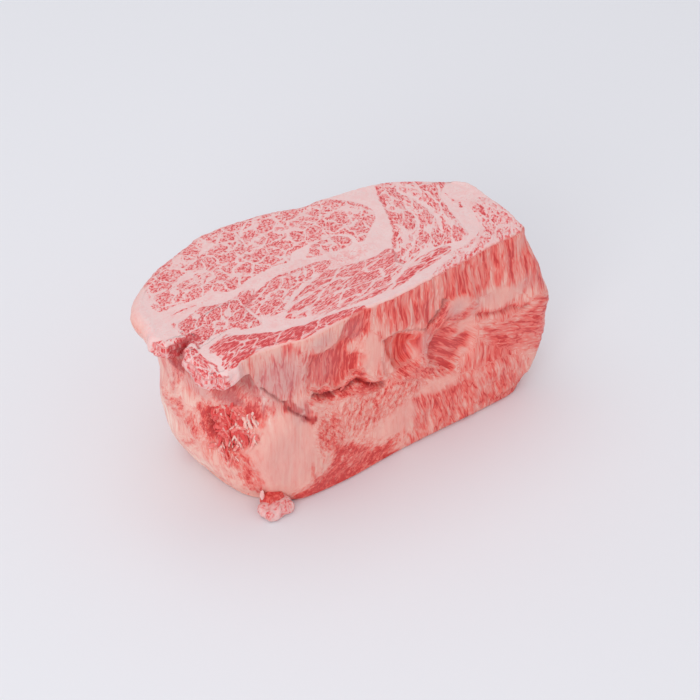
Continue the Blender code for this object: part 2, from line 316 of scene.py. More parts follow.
def footRows(top, waist, foot):
    # a quarter circle from the base out to the wall's first row
    radius = blockForm["footRadius"]
    ring = wallPlan(np.full(len(foot), radius), top, waist, foot)
    turns = np.linspace(0.0, 0.5 * math.pi, blockForm["footRows"], endpoint=False)[:, None]
    plan = ring - outwardNormals(foot) * (radius * (1.0 - np.sin(turns)))[..., None]
    heights = radius * (1.0 - np.cos(turns)) + 0.0 * foot[:, 0]
    return raised(plan, heights)


def edgeRows(top, waist, foot, radius, push):
    # a quarter circle from the wall, pushed out as its last row is, in to the cut face; also
    # how far the edge is lifted to meet that face, and the angles of the rows
    form = blockForm
    normals = outwardNormals(top)
    rim = wallPlan(np.full(len(top), form["height"]), top, waist, foot) + normals * push[:, None]
    edge = rim - normals * radius[:, None]
    lift = topHeight(edge[:, 0], edge[:, 1]) - form["height"]
    angles = np.linspace(0.0, 0.5 * math.pi, form["roundRows"] + 1)[1:, None]
    plan = rim - normals * (radius * (1.0 - np.cos(angles)))[..., None]
    heights = form["height"] + lift - radius * (1.0 - np.sin(angles))
    return raised(plan, heights), lift, angles


def rimSides():
    # numbers of the rim's points along the back, the right end, the front and the left end,
    # the last two turned round, so that opposite sides run the same way
    along, across = blockForm["alongSteps"], blockForm["acrossSteps"]
    numbers = np.append(np.arange(2 * (along + across)), 0)
    front = numbers[along + across:2 * along + across + 1]
    return (numbers[:along + 1], numbers[along:along + across + 1], front[::-1],
            numbers[2 * along + across:][::-1])


def coonsPatch(rim, back, right, front, left):
    # the two ruled surfaces between opposite sides of the rim less the bilinear one through
    # its corners
    u = np.linspace(0.0, 1.0, len(back))[None, :, None]
    v = np.linspace(0.0, 1.0, len(right))[:, None, None]
    return ((1 - v) * rim[back][None] + v * rim[front][None]
            + (1 - u) * rim[left][:, None] + u * rim[right][:, None]
            - (1 - u) * (1 - v) * rim[back[0]] - u * (1 - v) * rim[back[-1]]
            - (1 - u) * v * rim[front[0]] - u * v * rim[front[-1]])


def blockFaces(ringCount, around, sides):
    # quads between the rings and across the cut face, and a fan round the middle of the base
    back, right, front, left = sides
    numbers = np.arange(ringCount * around).reshape(ringCount, around)
    after = np.roll(numbers, -1, axis=1)
    quads = np.stack([numbers[:-1], numbers[1:], after[1:], after[:-1]], axis=-1)
    patch = np.empty((len(right), len(back)), int)
    inner = np.arange((len(right) - 2) * (len(back) - 2))
    patch[1:-1, 1:-1] = numbers.size + inner.reshape(len(right) - 2, -1)
    patch[0], patch[-1] = numbers[-1][back], numbers[-1][front]
    patch[:, 0], patch[:, -1] = numbers[-1][left], numbers[-1][right]
    lids = np.stack([patch[:-1, :-1], patch[1:, :-1], patch[1:, 1:], patch[:-1, 1:]], axis=-1)
    middle = np.full(around, numbers.size + inner.size)
    fan = np.stack([middle, numbers[0], after[0]], axis=-1)
    return quads.reshape(-1, 4).tolist() + lids.reshape(-1, 4).tolist() + fan.tolist()


# which tissue lies where, in mm

def muscle(marbling, tone, angle, stretch, cell, outline, **more):
    # marbling is the share of fat, tone how deep the red is, angle the way its streaks run,
    # stretch how long they are, cell the size of its bundles
    return {"marbling": marbling, "tone": tone, "angle": angle, "stretch": stretch,
            "cell": cell, "outline": outline, "sunk": 0.0, **more}


def line(half, red, *path, shadeAndStain=0.0):
    # half its width, how red it is, where 0 makes a pale line, and how far it darkens: painted shade in
    # crevices and folds, and dark stain near the front's crack
    return {"half": half, "red": red, "path": path, "shadeAndStain": shadeAndStain}


def crack(half, deep, shadeAndStain, *path):
    # half its width, its depth, and how much painted shade darkens its bottom
    return {"half": half, "deep": deep, "shadeAndStain": shadeAndStain, "path": path}


# the cut face on top, as (x, y); where streaks bend, bend is their middle and its radius
topMuscles = {
    "eye": muscle(0.56, 0.56, 25, 1.2, 0.84, outline=(
        (-69, 8), (-69, 15), (-66, 20), (-64, 27), (-60, 30), (-50, 36), (-43, 38), (-37, 40),
        (-30, 41), (-20, 41), (-8, 41), (0, 40), (10, 38.5), (20, 36), (27, 33), (33, 29), (38, 23),
        (40.5, 15), (38, 9), (33, 5), (28, 1.5), (24, -1.5), (21, -1), (22, 5), (15, 10), (0, 10),
        (-5, 9), (-8, 6), (-11, 5), (-15, 6), (-22, 5.5), (-30, 4.5), (-36, 2.5), (-41, 3), (-45, 6.5),
        (-55, 6.5), (-61, 8))),
    "oval": muscle(0.55, 0.55, 30, 1.2, 0.8, outline=(
        (-2, 3), (2, 6.5), (5, 9), (12, 9.5), (17, 8), (20, 4), (19, 0), (14, -1), (8, 0), (2, 1))),
    "leftCap": muscle(0.38, 0.64, 35, 1.6, 0.7, outline=(
        (-70, -2), (-65, -1.5), (-58, 0), (-54, 1), (-50, -1), (-42, -2), (-35, 0), (-31, -2),
        (-36, -6), (-41, -10), (-41, -20), (-43, -22.5), (-50, -21), (-52, -18), (-62, -17),
        (-69, -18))),
    "centreOval": muscle(0.48, 0.5, 20, 2, 0.62, outline=(
        (-40, -18), (-40, -10), (-35, -6), (-28, -3), (-20, -0.5), (-10, -1), (0, -2), (4, -5),
        (2, -7.6), (-5, -9.6), (-10, -10.8), (-17, -12.8), (-22, -14.8), (-26, -17.8), (-29, -20.8),
        (-33, -21), (-38, -20.5))),
    "centreStreaks": muscle(0.45, 0.55, 12, 3.2, 0.6, outline=(
        (-33, -25), (-28, -20.6), (-25, -17.4), (-18, -14.4), (-10, -11.6), (0, -10.4), (10, -11.5),
        (20, -13.5), (28, -12), (28, -19), (24, -26), (10, -31.5), (0, -31.5), (-15, -31.5),
        (-25, -29.5))),
    "frontLeft": muscle(0.14, 0.98, 14, 2.8, 0.75, outline=(
        (-67, -24), (-62, -21.5), (-56, -21.5), (-50, -25), (-45, -27), (-40, -30), (-30, -32),
        (-20, -33.5), (-10, -35), (-4, -37), (-8, -39), (-28, -39), (-35, -41), (-40, -38),
        (-45, -36.5), (-50, -35), (-56, -36), (-62, -37.5), (-68, -37.5), (-69, -34), (-67, -31))),
    "frontStreaks": muscle(0.35, 0.65, 5, 4, 0.6, outline=(
        (-28, -31), (-14, -33), (0, -34.5), (15, -35), (25, -33), (36, -31), (46, -29), (48, -25),
        (36, -24), (26, -27), (15, -31.5), (0, -32.5), (-16, -32))),
    "right": muscle(0.55, 0.5, 0, 2, 0.75, bend=(-20, 40, 85), outline=(
        (53, 27), (50, 22), (47, 14), (45, 9), (42, 4), (40, 0), (37, -5), (33, -9), (30, -13),
        (26, -17), (20, -20), (24, -24), (30, -24), (38, -22), (48, -24), (56, -26), (60, -24),
        (62, -18), (64, -10), (66.5, -3), (69, 4), (73, 8), (78, 11), (76, 15), (70, 19), (65, 24),
        (60, 28))),
    "rightRim": muscle(0.72, 0.35, 0, 2, 0.8, bend=(-20, 40, 105), outline=(
        (46, -30), (58, -28.5), (66, -24), (71, -16), (75, -8), (82, -6), (85, -14), (84, -30),
        (78, -37), (60, -38), (44, -39), (30, -38.5), (34, -35), (44, -32))),
    "lobe": muscle(0.45, 0.6, 70, 1.3, 0.6, outline=(
        (-84, -4), (-79, -7), (-75, -9), (-71, -12), (-74, -15), (-79, -13), (-84, -12))),
    "flap": muscle(0.48, 0.6, 75, 1.8, 0.7, outline=(
        (-80, -18), (-75, -17), (-71, -19), (-72, -28), (-72, -36), (-68, -41), (-76, -42), (-81, -36),
        (-81, -26))),
}

# thin lines of the top: red ones in the fat or at a muscle's border, pale ones in the lean
topLines = (
    line(0.6, 0.7, (53, 27), (50, 22), (46.5, 14), (43, 6), (39, -1), (36, -6), (31.5, -11),
         (27.5, -16), (22, -19.5)),
    line(0.5, 1.0, (-40, -9), (-33, -5), (-25, -2), (-18, -0.5)),
    line(0.5, 0.0, (-40, -9), (-41, -14), (-41, -20)),
    line(0.35, 0.5, (-67, 3.5), (-61, 4.2), (-55, 3.4)),
    line(0.35, 0.6, (-55, -20), (-60, -20.5), (-66, -22.5), (-69, -26)),
    line(0.6, 0.9, (-71, -21), (-72, -26), (-70.5, -31), (-71.5, -35)),
    line(0.8, 1.0, (20, -33), (32, -29.5), (45, -26)),
    line(0.5, 0.5, (72, 5), (71.5, 1), (71, -2)),
    line(0.7, 1.0, (73, -4), (70.5, -7)),
    line(0.8, 0.9, (77, -12), (75, -16), (74, -19)),
    line(0.9, 0.8, (75.5, 12.5), (75, 11)),
    # the notch between lobe and flap, darkened with painted shade in the crevice
    line(2.4, 1.4, (-80, -15.5), (-76, -14.8), (-72, -13.6), (-67.5, -14), shadeAndStain=0.3),
    line(1.5, 1.4, (-80, -15.3), (-76, -14.8), (-72, -13.6), (-69.5, -13.8), shadeAndStain=0.55),
    line(0.5, 1.2, (-70.5, -14), (-69, -17.5), (-69.5, -20), shadeAndStain=0.3),
    line(0.75, 0.0, (-5, -8), (-12, -10.5), (-18, -13), (-24, -16.5), (-29, -20.5)),
    line(0.5, 0.0, (-19, 20), (-16, 25), (-15, 29), (-11, 35)),
    line(0.8, 0.0, (62, 26), (58, 18), (60, 10), (60, 0), (57, -9), (52, -17)),
    line(0.6, 0.0, (54, 10), (52, 0), (47, -8), (38, -16), (28, -21)),
)

# (x, y) centre and radius of pale fatty patches inside the muscles
topFatSpots = (
    ((-44, 18.5), 5), ((-22, 37), 2), ((60, 13), 3.2), ((78, 2), 6), ((8, 22), 2.4), ((-28, 33), 2.4),
    ((30, 24), 2.2), ((50, -12), 2.6), ((62, -13), 4),
)

# spots of the cut face: blurred pink in the fat, and the deeper red of the front left muscle
topBlush = (
    ((9, -6.5), (16, 5), 1.1), ((-55, 3.5), (14, 3), 0.5), ((-30, -25), (14, 4), 0.4),
    ((76, -6), (9, 12), 0.4), ((70, -30), (16, 6), 0.5), ((-10, 1.5), (30, 3.5), 0.3),
)
topDeepRed = (((-54, -30), (9, 6), 0.35),)

# lean showing in the wall, as (way round, height): the way round is x on the front and goes on
# round the ends; sunk is how far it lies in, ease the depths over which it sinks, and shallow
# two heights and the share of sunk that is left at the first
wallMuscles = {
    "window": muscle(0.12, 0.98, 84, 5, 0.9, sunk=0.5, outline=(
        (-34, 73), (-30, 72), (-25, 70), (-21, 71), (-18, 75), (-15, 79), (-10, 81), (-3, 81), (-3, 75),
        (-5, 70), (-11, 66), (-12, 62), (-7, 60), (-6, 57), (-8, 54), (-12, 52), (-18, 49), (-22, 52),
        (-28, 54), (-33, 60), (-34, 66))),
    "windowFan": muscle(0.24, 1.0, 84, 5, 0.9, sunk=0.3, outline=(
        (-19, 66), (-14, 66), (-12, 61), (-7, 60), (-6, 57), (-9, 54), (-14, 52), (-19, 53),
        (-20, 60))),
    "windowTop": muscle(0.12, 0.95, 84, 5, 0.9, sunk=0.2, outline=(
        (-18, 75), (-15, 79), (-10, 81), (-3, 81), (-4, 74), (-6, 69), (-12, 70), (-18, 71))),
    "gap": muscle(0.4, 1.0, -35, 2, 0.7, sunk=0.6, ease=(-0.6, 1.2), outline=(
        (-31, 53), (-26, 52.5), (-20, 49), (-13, 50), (-9, 53), (-5, 51), (-4, 46), (3, 41), (1, 38.5),
        (-7, 41), (-15, 43.5), (-24, 45), (-30, 48))),
    "pocket": muscle(0.2, 0.84, 88, 9, 1.0, sunk=4.2, ease=(-0.3, 2), shallow=(63, 51, 0.35), outline=(
        (5, 61), (10, 62), (15, 60), (21, 56), (23, 52), (20, 47), (15, 44), (10, 45), (8, 50),
        (5, 56))),
    "fibres": muscle(0.3, 1.08, -38, 7, 0.8, sunk=0.7, outline=(
        (28, 48), (32, 51), (38, 53), (42, 48), (42, 45), (50, 45), (50.5, 40), (47, 37), (43, 34),
        (41, 30), (38, 31), (33, 35), (28, 41))),
    "besideFibres": muscle(0.22, 0.62, -50, 3, 0.8, sunk=0.3, outline=(
        (12, 44), (22, 43), (29, 37), (42, 29), (38, 29), (28, 31), (20, 34), (12, 40))),
    "aboveFibres": muscle(0.2, 0.55, -30, 3, 0.8, sunk=0.1, outline=(
        (30, 58), (37, 59), (45, 58), (50, 60), (49, 54), (42, 52), (34, 53))),
    "topBand": muscle(0.4, 0.52, 94, 7, 0.95, outline=(
        (5, 84), (5, 66), (12, 64), (20, 63), (27, 58), (31, 60), (36, 67), (45, 66), (50, 62),
        (58, 63), (70, 59), (78, 56), (86, 50), (92, 50), (92, 84))),
    "underBand": muscle(0.2, 0.8, 60, 3, 0.7, sunk=0.4, outline=(
        (26, 57), (31, 60), (36, 65), (38, 60), (37, 54), (30, 52))),
    "rightBand": muscle(0.16, 0.66, -24, 5, 0.9, sunk=0.2, outline=(
        (56, 45), (64, 41), (74, 40), (84, 44), (92, 46), (97, 40), (97, 26), (90, 18), (84, 22),
        (76, 28), (68, 33), (60, 38))),
    "lowerBand": muscle(0.34, 0.44, 106, 4.5, 0.95, sunk=0.1, outline=(
        (20, 24), (26, 25), (35, 23), (50, 22), (62, 22), (72, 20), (82, 14), (84, 0), (76, -3),
        (20, -3), (19, 6))),
    "lowerRight": muscle(0.25, 0.85, 106, 4.5, 0.8, sunk=0.1, outline=(
        (58, 14), (66, 12), (76, 12), (84, 8), (84, -3), (58, -3))),
    "leftMottle": muscle(0.4, 0.55, -55, 1.8, 0.55, sunk=0.1, outline=(
        (-28, 37), (-20, 36), (-17, 30), (-16, 22), (-22, 20), (-28, 24), (-30, 31))),
    "paleMottle": muscle(0.45, 0.2, 75, 2, 0.6, outline=(
        (-15, 40), (0, 39), (15, 38), (24, 32), (18, 28), (9, 24), (2, 21), (-5, 22), (-14, 24),
        (-16, 32))),
    "underLobe": muscle(0.2, 0.75, 60, 3, 0.8, sunk=0.6, outline=(
        (-99, 64), (-95, 66), (-92, 63), (-90, 58), (-93, 52), (-98, 46), (-101, 43), (-99, 50),
        (-97, 56))),
    "underFlap": muscle(0.25, 0.6, 70, 3, 0.8, sunk=0.3, outline=(
        (-75, 60), (-70, 62), (-63, 62), (-59, 58), (-61, 54), (-66, 53), (-71, 55), (-74, 57))),
    "blockRed": muscle(0.15, 1.45, 80, 3, 0.8, outline=(
        (-59, 55), (-51.5, 55), (-51, 49.5), (-54.5, 46), (-59, 48))),
    "leftStreakA": muscle(0.3, 0.35, 35, 4, 0.8, sunk=0.1, outline=(
        (-107, 38), (-100, 41), (-94, 43), (-92, 39), (-95, 34), (-101, 33), (-106, 35))),
    "leftStreakB": muscle(0.3, 0.45, 60, 3, 0.8, sunk=0.1, outline=(
        (-91, 38), (-86, 40), (-83, 35), (-82, 29), (-87, 30), (-90, 34))),
    "redSpot": muscle(0.1, 0.8, 30, 3, 0.8, sunk=0.1, outline=(
        (-94, 20), (-90, 21), (-86, 25), (-84.5, 24), (-87, 21), (-90, 18.5))),
    "tornHollow": muscle(0.5, 1.25, 70, 2, 0.7, sunk=1.2, outline=(
        (-82, 46), (-78, 50), (-72, 50), (-70, 46), (-69, 40), (-67, 35), (-66, 30), (-72, 30),
        (-77, 33), (-80, 38), (-79, 43))),
    "freshTear": muscle(0.7, 1.0, 78, 3, 0.55, outline=(
        (-70, 50), (-66, 53), (-61, 52), (-59, 47), (-57, 43), (-55, 38), (-59, 35), (-62, 31),
        (-66, 29), (-69, 34), (-70, 40))),
    "trail": muscle(0.5, 0.62, -70, 2.4, 0.65, sunk=0.2, outline=(
        (-71, 32), (-64, 32), (-59, 28), (-56, 22), (-53, 14), (-52, 8), (-56, 6), (-60, 10), (-63, 18),
        (-68, 25))),
    "lowerLeft": muscle(0.32, 1.05, 25, 1.8, 0.7, sunk=0.2, outline=(
        (-40, 4), (-32, 8), (-25, 11), (-20, 14), (-22, 22), (-15, 19), (-8, 15), (-3, 11), (2, 9),
        (9, 10), (9, 5), (12, -3), (-40, -3))),
}

# thin red, dark and pale lines in the skin of the front
wallLines = (
    line(0.35, 0.8, (-59, 81), (-58.5, 74), (-58.5, 68)),
    line(0.25, 0.5, (-51.5, 79), (-51.8, 74)),
    line(0.4, 0.8, (-41, 62), (-41, 55)),
    line(0.5, 0.9, (-34.5, 63), (-33, 57), (-32, 49)),
    line(0.9, 0.9, (-41, 80), (-39, 78), (-38, 76)),
    line(0.45, 0.7, (1, 68), (4, 60), (8, 50)),
    line(0.7, 1.0, (-32.5, 17), (-32, 13), (-31, 8)),
    line(0.35, 0.6, (-54, 62), (-53.5, 57), (-53.5, 45)),
    line(0.6, 0.8, (5, 38), (10, 38.5), (14, 36.5)),
    line(0.5, 0.8, (-1, 35), (1, 30), (2, 26)),
    line(1.2, 1.0, (-7, 41), (0, 40.5)),
    # the lower end of the crack: dark stain, with painted shade along the crack
    line(1.5, 1.2, (-36, 43), (-31.5, 40), shadeAndStain=0.4),
    line(1.8, 1.1, (-42.5, 51.5), (-38, 47), shadeAndStain=0.3),
    line(0.9, 1.1, (-35, 49), (-33.5, 44), shadeAndStain=0.2),
    line(1.1, 0.75, (54, 52.5), (64, 49.5), (74, 47), (80, 46)),
    line(0.6, 0.6, (57, 43), (62, 39.5), (66, 37)),
    # folds under the lobe and the flap, darkened with painted shade
    line(2.6, 1.3, (-94.5, 80), (-94, 72), (-93, 68), shadeAndStain=0.6),
    line(2.6, 1.3, (-98, 61.5), (-93.5, 61), (-89.5, 62), shadeAndStain=0.5),
    line(1.1, 1.2, (-92, 69), (-87, 66), (-81, 64.5), shadeAndStain=0.3),
    line(2, 0.5, (-71.5, 57.5), (-66, 57), (-62, 56), shadeAndStain=0.3),
    line(0.7, 0.8, (-106, 56), (-102, 49), (-98, 45)),
    line(0.5, 0.7, (-110, 44), (-104, 37), (-98, 33)),
    line(0.5, 0.9, (-94, 66), (-88, 62.5), (-80, 60), (-72, 61)),
    line(0.8, 0.0, (12.3, 61), (12.3, 52), (12.8, 46)),
    line(0.5, 0.0, (-54.5, 70), (-54, 62), (-54.3, 52)),
    line(0.6, 1.0, (-55.6, 64), (-55.2, 58), (-55.6, 54)),
)

# cracks of the front wall, their bottoms darkened with painted shade
frontCracks = (
    crack(1.5, 3.2, 0.9, (-31, 51), (-25, 48), (-20, 46.5), (-14, 46), (-9, 47.5), (-3, 43), (4, 40)),
    crack(0.8, 1.2, 0.95, (-53, 63), (-50, 59.5), (-46, 55.5), (-42, 50), (-38, 45.5), (-33, 40.5)),
    crack(1.5, 1.8, 0.6, (27, 57.5), (31, 60), (36, 66.5)),
    crack(1.5, 1.3, 0.25, (54, 52), (64, 49), (74, 46.5), (81, 44.5)),
    crack(1.0, 1.1, 0.5, (4, 61.5), (11, 62.5), (19, 60.5), (27, 57.5)),
)

# spots of the front: how far it lies in, and how far fat swells out
frontHollows = (
    ((13.5, 52), (9.5, 11), 2), ((40, 42), (11.5, 11), 2.2), ((-20, 60), (14, 11), 2.2),
)
frontSwellings = (
    ((43, 60), (10, 7), 1.4), ((45, 14), (30, 13), 1.2), ((-42, 25), (16, 23), 1.2),
)

# spots of smooth fat on the front, where the streaks fade
plainFat = (
    ((-46, 27), (17, 24), 1.0), ((10, 20), (12, 9), 1.0), ((32, 26.5), (12, 3.5), 1.0),
    ((43, 62), (8, 5), 1.0), ((48, 46), (4, 12), 1.0), ((-2, 58), (4.5, 11), 1.0),
    ((68, 56), (12, 5), 1.0),
)

# spots that are more streaked than elsewhere
streakySkin = (
    ((-45, 64), (16, 17), 1.0), ((-27, 76), (9, 5), 0.5), ((-10, 72), (7, 7), 0.5),
)

# shares of the greyish purple skin
purpleSkin = (
    ((-46, 66), (17, 17), 0.58), ((-27, 76), (9, 5), 0.45), ((-9.5, 70), (4, 3), 0.35),
    ((-12, 75), (8, 6), 0.25), ((41, 61), (8, 6), 0.35), ((26, 50), (5, 8), 0.35),
    ((-25, 61), (10, 10), 0.24), ((-20, 8), (24, 10), 0.1), ((-44, 24), (16, 22), 0.2),
    ((40, 42), (12, 11), 0.08), ((16, 20), (10, 10), 0.12), ((-37, 46), (6, 8), 0.4),
    ((-66, 56), (8, 6), 0.45), ((-80, 56), (14, 6), 0.35), ((-104, 50), (10, 12), 0.12),
    ((56, 58), (12, 5), 0.2), ((80, 56), (12, 5), 0.2),
)

# shares of the palest, creamy fat
creamFat = (
    ((-107, 22), (13, 17), 0.85), ((-86, 10), (16, 13), 0.7), ((-94, 46), (13, 11), 0.45),
    ((-112, 52), (8, 18), 0.45), ((-86, 45), (5, 6), 0.45), ((-70, 11), (9, 9), 0.25),
    ((43, 61), (6, 4), 0.25), ((-22, 70), (5, 2.5), 0.3), ((3, 20), (8, 8), 0.12),
    ((-52.6, 57), (1.2, 9), 0.9), ((-50.2, 47), (0.9, 6), 0.8), ((-30, 77), (3.5, 2.5), 0.35),
)

# redness that blood gives the fat of the front
redFat = (
    ((40, 40), (72, 60), 0.16), ((8, 20), (16, 12), 0.1), ((-44, 26), (18, 24), 0.06),
    ((64, 28), (20, 16), 0.26), ((70, 32), (14, 10), 0.22), ((0, 33), (24, 12), 0.24),
    ((1, 60), (8, 14), 0.1), ((30, 50), (22, 14), 0.14), ((35, 28), (20, 5), 0.08),
    ((-48, 66), (15, 15), 0.1), ((76, 48), (22, 8), 0.12), ((-62, 48), (10, 16), 0.28),
    ((-60, 26), (7, 14), 0.2), ((-76, 34), (16, 12), 0.26), ((-94, 38), (14, 9), 0.2),
    ((-90, 56), (12, 8), 0.2), ((-72, 14), (12, 14), 0.08),
)

blockTissue = {
    "topMottle": 0.45, "plainMottle": 0.3,       # how streaked the fat is
    "noLean": -9.0,             # depth, in mm, where there is no muscle
    "wallGrainRise": 0.13,      # how much of its height counts in the grain of a wall
    "lipRise": 0.7, "lipSpan": (0.0725, 0.0745),     # metres over which it is a cut face
    "skinCell": 0.8, "grainDepth": 0.5,
    "baseGrain": {"angle": 20, "stretch": 1.6, "cell": 0.75}, "baseSpread": (1.2, 1.05),
    "topReach": 1.2, "wallReach": 3.2,      # mm past its border that a muscle's grain goes on
    "lineBend": 0.9, "bendSize": 3.0, "lineEase": (-0.4, 0.2), "lineTone": (0.4, 0.5),
    "ragged": ((3.4, 0.9), (1.5, 0.45)),      # size and reach, in mm
    "fatSpotMarbling": 0.5, "fatSpotEase": (2.0, -1.0), "deepRedEase": (1.0, 2.0 / 9.0),
    "frontSpan": (-104.0, 95.0), "frontFade": 8.0,
    # past the front: patches of lean by slow noise, and seams between two ways of the grain
    "patchSize": 0.030, "patchShare": -0.05, "patchSlope": 9.0, "patchDrawn": (1.0, 1.0, 0.45),
    "seamSize": 0.042, "seamShare": 0.07, "seamSlope": 16.0, "leaningWay": (0.45, 0.3, 0.84),
    "smoothEase": (1.5, -1.5), "sideSmooth": 0.55,
    "sideMarbling": (0.24, 0.25, 0.015), "sideTone": (0.40, 0.3, 0.018),   # mean, swing, size
    # share, and seed, size, start and end of its noise
    "sidePurple": (0.3, 71, 0.022, 0.1, 0.7), "sideCream": (0.6, 72, 0.026, 0.0, 0.7),
    "sideRed": (0.26, 73, 0.020, -0.4, 0.5),
    "skinEase": (1.2, 0.2), "redEase": (1.3, 0.3), "redInPlain": 0.4,
    "blushEase": (1.2, 0.3), "plainEase": (1.1, 0.8), "streakyEase": (1.2, 0.4),
}


def grainOf(along, across, rest, streaks):
    # pattern coordinates: along the streaks shrunk by stretch, across them, and the third
    # way, all over the bundle's size; streaks that bend round a middle are as long as the arc
    # of the middle radius
    if "bend" in streaks:
        middleX, middleY, radius = streaks["bend"]
        over = np.hypot(along - middleX, across - middleY)
        down = radius * np.arctan2(across - middleY, along - middleX)
    else:
        turn = math.radians(streaks["angle"])
        down = along * math.cos(turn) + across * math.sin(turn)
        over = across * math.cos(turn) - along * math.sin(turn)
    return np.stack([down / streaks["stretch"], over, rest], axis=-1) / streaks["cell"]


def longGrain(places, way):
    # pattern coordinates of streaks in three dimensions: shrunk along the way they run
    way = unitLength(np.array(way))
    shrunk = (1.0 - blockTissue["wallGrainRise"]) * (places @ way)
    return (places - shrunk[..., None] * way) / blockTissue["skinCell"]


def layMuscles(muscles, ragged, plain, fatGrain, reach):
    # each point takes its grain, marbling and tone from the muscle that it is deepest in,
    # and its lean depth is that greatest depth; ragged are the places that the outlines are
    # read at, plain those of the grain, and past the reach fat keeps a grain of its own
    along, across = ragged
    lean = np.full(along.shape, blockTissue["noLean"])
    grain = fatGrain
    marbling = np.full(along.shape, 0.5)
    tone = np.full(along.shape, 0.5)
    for part in muscles.values():
        depth = depthInside(along, across, part["outline"])
        deepest = depth > lean
        lean = np.where(deepest, depth, lean)
        inOrNear = (deepest & (depth > -reach))[..., None]
        grain = np.where(inOrNear, grainOf(*plain, part), grain)
        marbling = np.where(deepest, part["marbling"], marbling)
        tone = np.where(deepest, part["tone"], tone)
    return {"lean": lean, "grain": grain, "marbling": marbling, "tone": tone,
            "shadeAndStain": np.zeros(along.shape)}


def drawLines(tissue, lines, along, across):
    # a red line raises the lean depth along its path and deepens the tone; a pale line lowers
    # the lean depth there
    start, gain = blockTissue["lineTone"]
    for mark in lines:
        gap = mark["half"] - lineDistance(along, across, mark["path"])
        if mark["red"] == 0.0:
            tissue["lean"] = np.minimum(tissue["lean"], -gap)
            continue
        near = easeStep(*blockTissue["lineEase"], gap)
        tissue["lean"] = np.maximum(tissue["lean"], gap)
        tissue["marbling"] = tissue["marbling"] * (1.0 - near)
        tissue["tone"] = tissue["tone"] + (start + gain * mark["red"] - tissue["tone"]) * near
        # a line's darkening, painted shade in crevices and folds and dark stain, keeps the larger
        tissue["shadeAndStain"] = np.maximum(tissue["shadeAndStain"], mark["shadeAndStain"] * near)


def topTissue(x, y, rest=0.0):
    # the muscles of the cut face, its thin lines and its fatty patches
    flat = np.zeros(x.shape) + rest
    places = np.stack([x, y, flat], axis=-1)
    tissue = layMuscles(topMuscles, (x, y), (x, y, flat), places, blockTissue["topReach"])
    bent, size = blockTissue["lineBend"], blockTissue["bendSize"]
    drawLines(tissue, topLines, x + bent * softNoise(places, size, 61),
              y + bent * softNoise(places, size, 62))
    for (middleX, middleY), radius in topFatSpots:
        past = np.hypot(x - middleX, y - middleY) - radius
        tissue["marbling"] += (blockTissue["fatSpotMarbling"]
                               * easeStep(*blockTissue["fatSpotEase"], past))
    tissue["tone"] += spotsAt(x, y, topDeepRed, blockTissue["deepRedEase"])
    return tissue


def roundDistance(plan):
    # mm along each row of the wall, counted so that it is x in the middle of the front and
    # goes on round the right end to the back as it grows
    steps = np.linalg.norm(np.diff(plan, axis=1), axis=-1)
    arc = np.concatenate([np.zeros((len(plan), 1)), np.cumsum(steps, axis=1)], axis=1)
    middle = blockForm["alongSteps"] * 3 // 2 + blockForm["acrossSteps"]
    return (plan[:, middle, :1] + arc[:, middle:middle + 1] - arc) / millimetre


def pastFront(along):
    # 0 on the front and the near part of the left end, 1 on the rest
    (low, high), fade = blockTissue["frontSpan"], blockTissue["frontFade"]
    return easeStep(low, low - fade, along) + easeStep(high, high + fade, along)


def wallTissue(points, along):
    # a skin of fat all round, with the muscles that show in it, and on the ends and the back
    # patches of lean where slow noise is high
    tissue = blockTissue
    places = points / millimetre
    raggedAlong, raggedHeight = along, places[..., 2]
    for seed, (size, reach) in enumerate(tissue["ragged"]):
        raggedAlong = raggedAlong + reach * softNoise(places, size, 41 + seed)
        raggedHeight = raggedHeight + reach * softNoise(places, size, 51 + seed)
    away = pastFront(along)
    border = softNoise(points, tissue["seamSize"], 24)
    leaning = ((border > 0.0) & (away > 0.5))[..., None]
    skinGrain = np.where(leaning, longGrain(places, tissue["leaningWay"]),
                         longGrain(places, (0.0, 0.0, 1.0)))
    plain = (along, places[..., 2], tissue["grainDepth"] * places[..., 1])
    wall = layMuscles(wallMuscles, (raggedAlong, raggedHeight), plain, skinGrain,
                      tissue["wallReach"])
    drawLines(wall, wallLines, raggedAlong, raggedHeight)
    drawn = points * np.array(tissue["patchDrawn"])
    patches = roughNoise(drawn, tissue["patchSize"], 21) - tissue["patchShare"]
    seams = tissue["seamSlope"] * (np.abs(border) - tissue["seamShare"])
    patches = np.minimum(tissue["patchSlope"] * patches, seams) + tissue["noLean"] * (1.0 - away)
    inPatch = patches > wall["lean"]
    wall["lean"] = np.maximum(wall["lean"], patches)
    for key, side, seed in (("marbling", "sideMarbling", 22), ("tone", "sideTone", 23)):
        mean, swing, size = tissue[side]
        wall[key] = np.where(inPatch, mean + swing * softNoise(points, size, seed), wall[key])
    wall["smooth"] = away * easeStep(*tissue["smoothEase"], patches)
    return wall, raggedAlong, raggedHeight


def wallTint(points, x, z, plain):
    # purple, redness of the fat and cream: the named places, and slow noise past the front
    tissue = blockTissue
    away = pastFront(x)

    def sideShare(key):
        share, seed, size, low, high = tissue[key]
        return share * away * easeStep(low, high, softNoise(points, size, seed))
    red = spotsAt(x, z, redFat, tissue["redEase"], np.add)
    red = sideShare("sideRed") + red * (1.0 - (1.0 - tissue["redInPlain"]) * plain)
    purple = np.maximum(sideShare("sidePurple"), spotsAt(x, z, purpleSkin, tissue["skinEase"]))
    cream = np.maximum(sideShare("sideCream"), spotsAt(x, z, creamFat, tissue["skinEase"]))
    return np.stack([purple, red, cream], axis=-1)


def mixTissue(first, second, share):
    # share of the second; grain can't be mixed, so it changes over at a half
    mixed = {key: first[key] + (second[key] - first[key]) * share
             for key in ("lean", "marbling", "tone", "shadeAndStain")}
    mixed["grain"] = np.where(share[..., None] > 0.5, second["grain"], first["grain"])
    return mixed


# the block's relief, in mm unless a note says metres

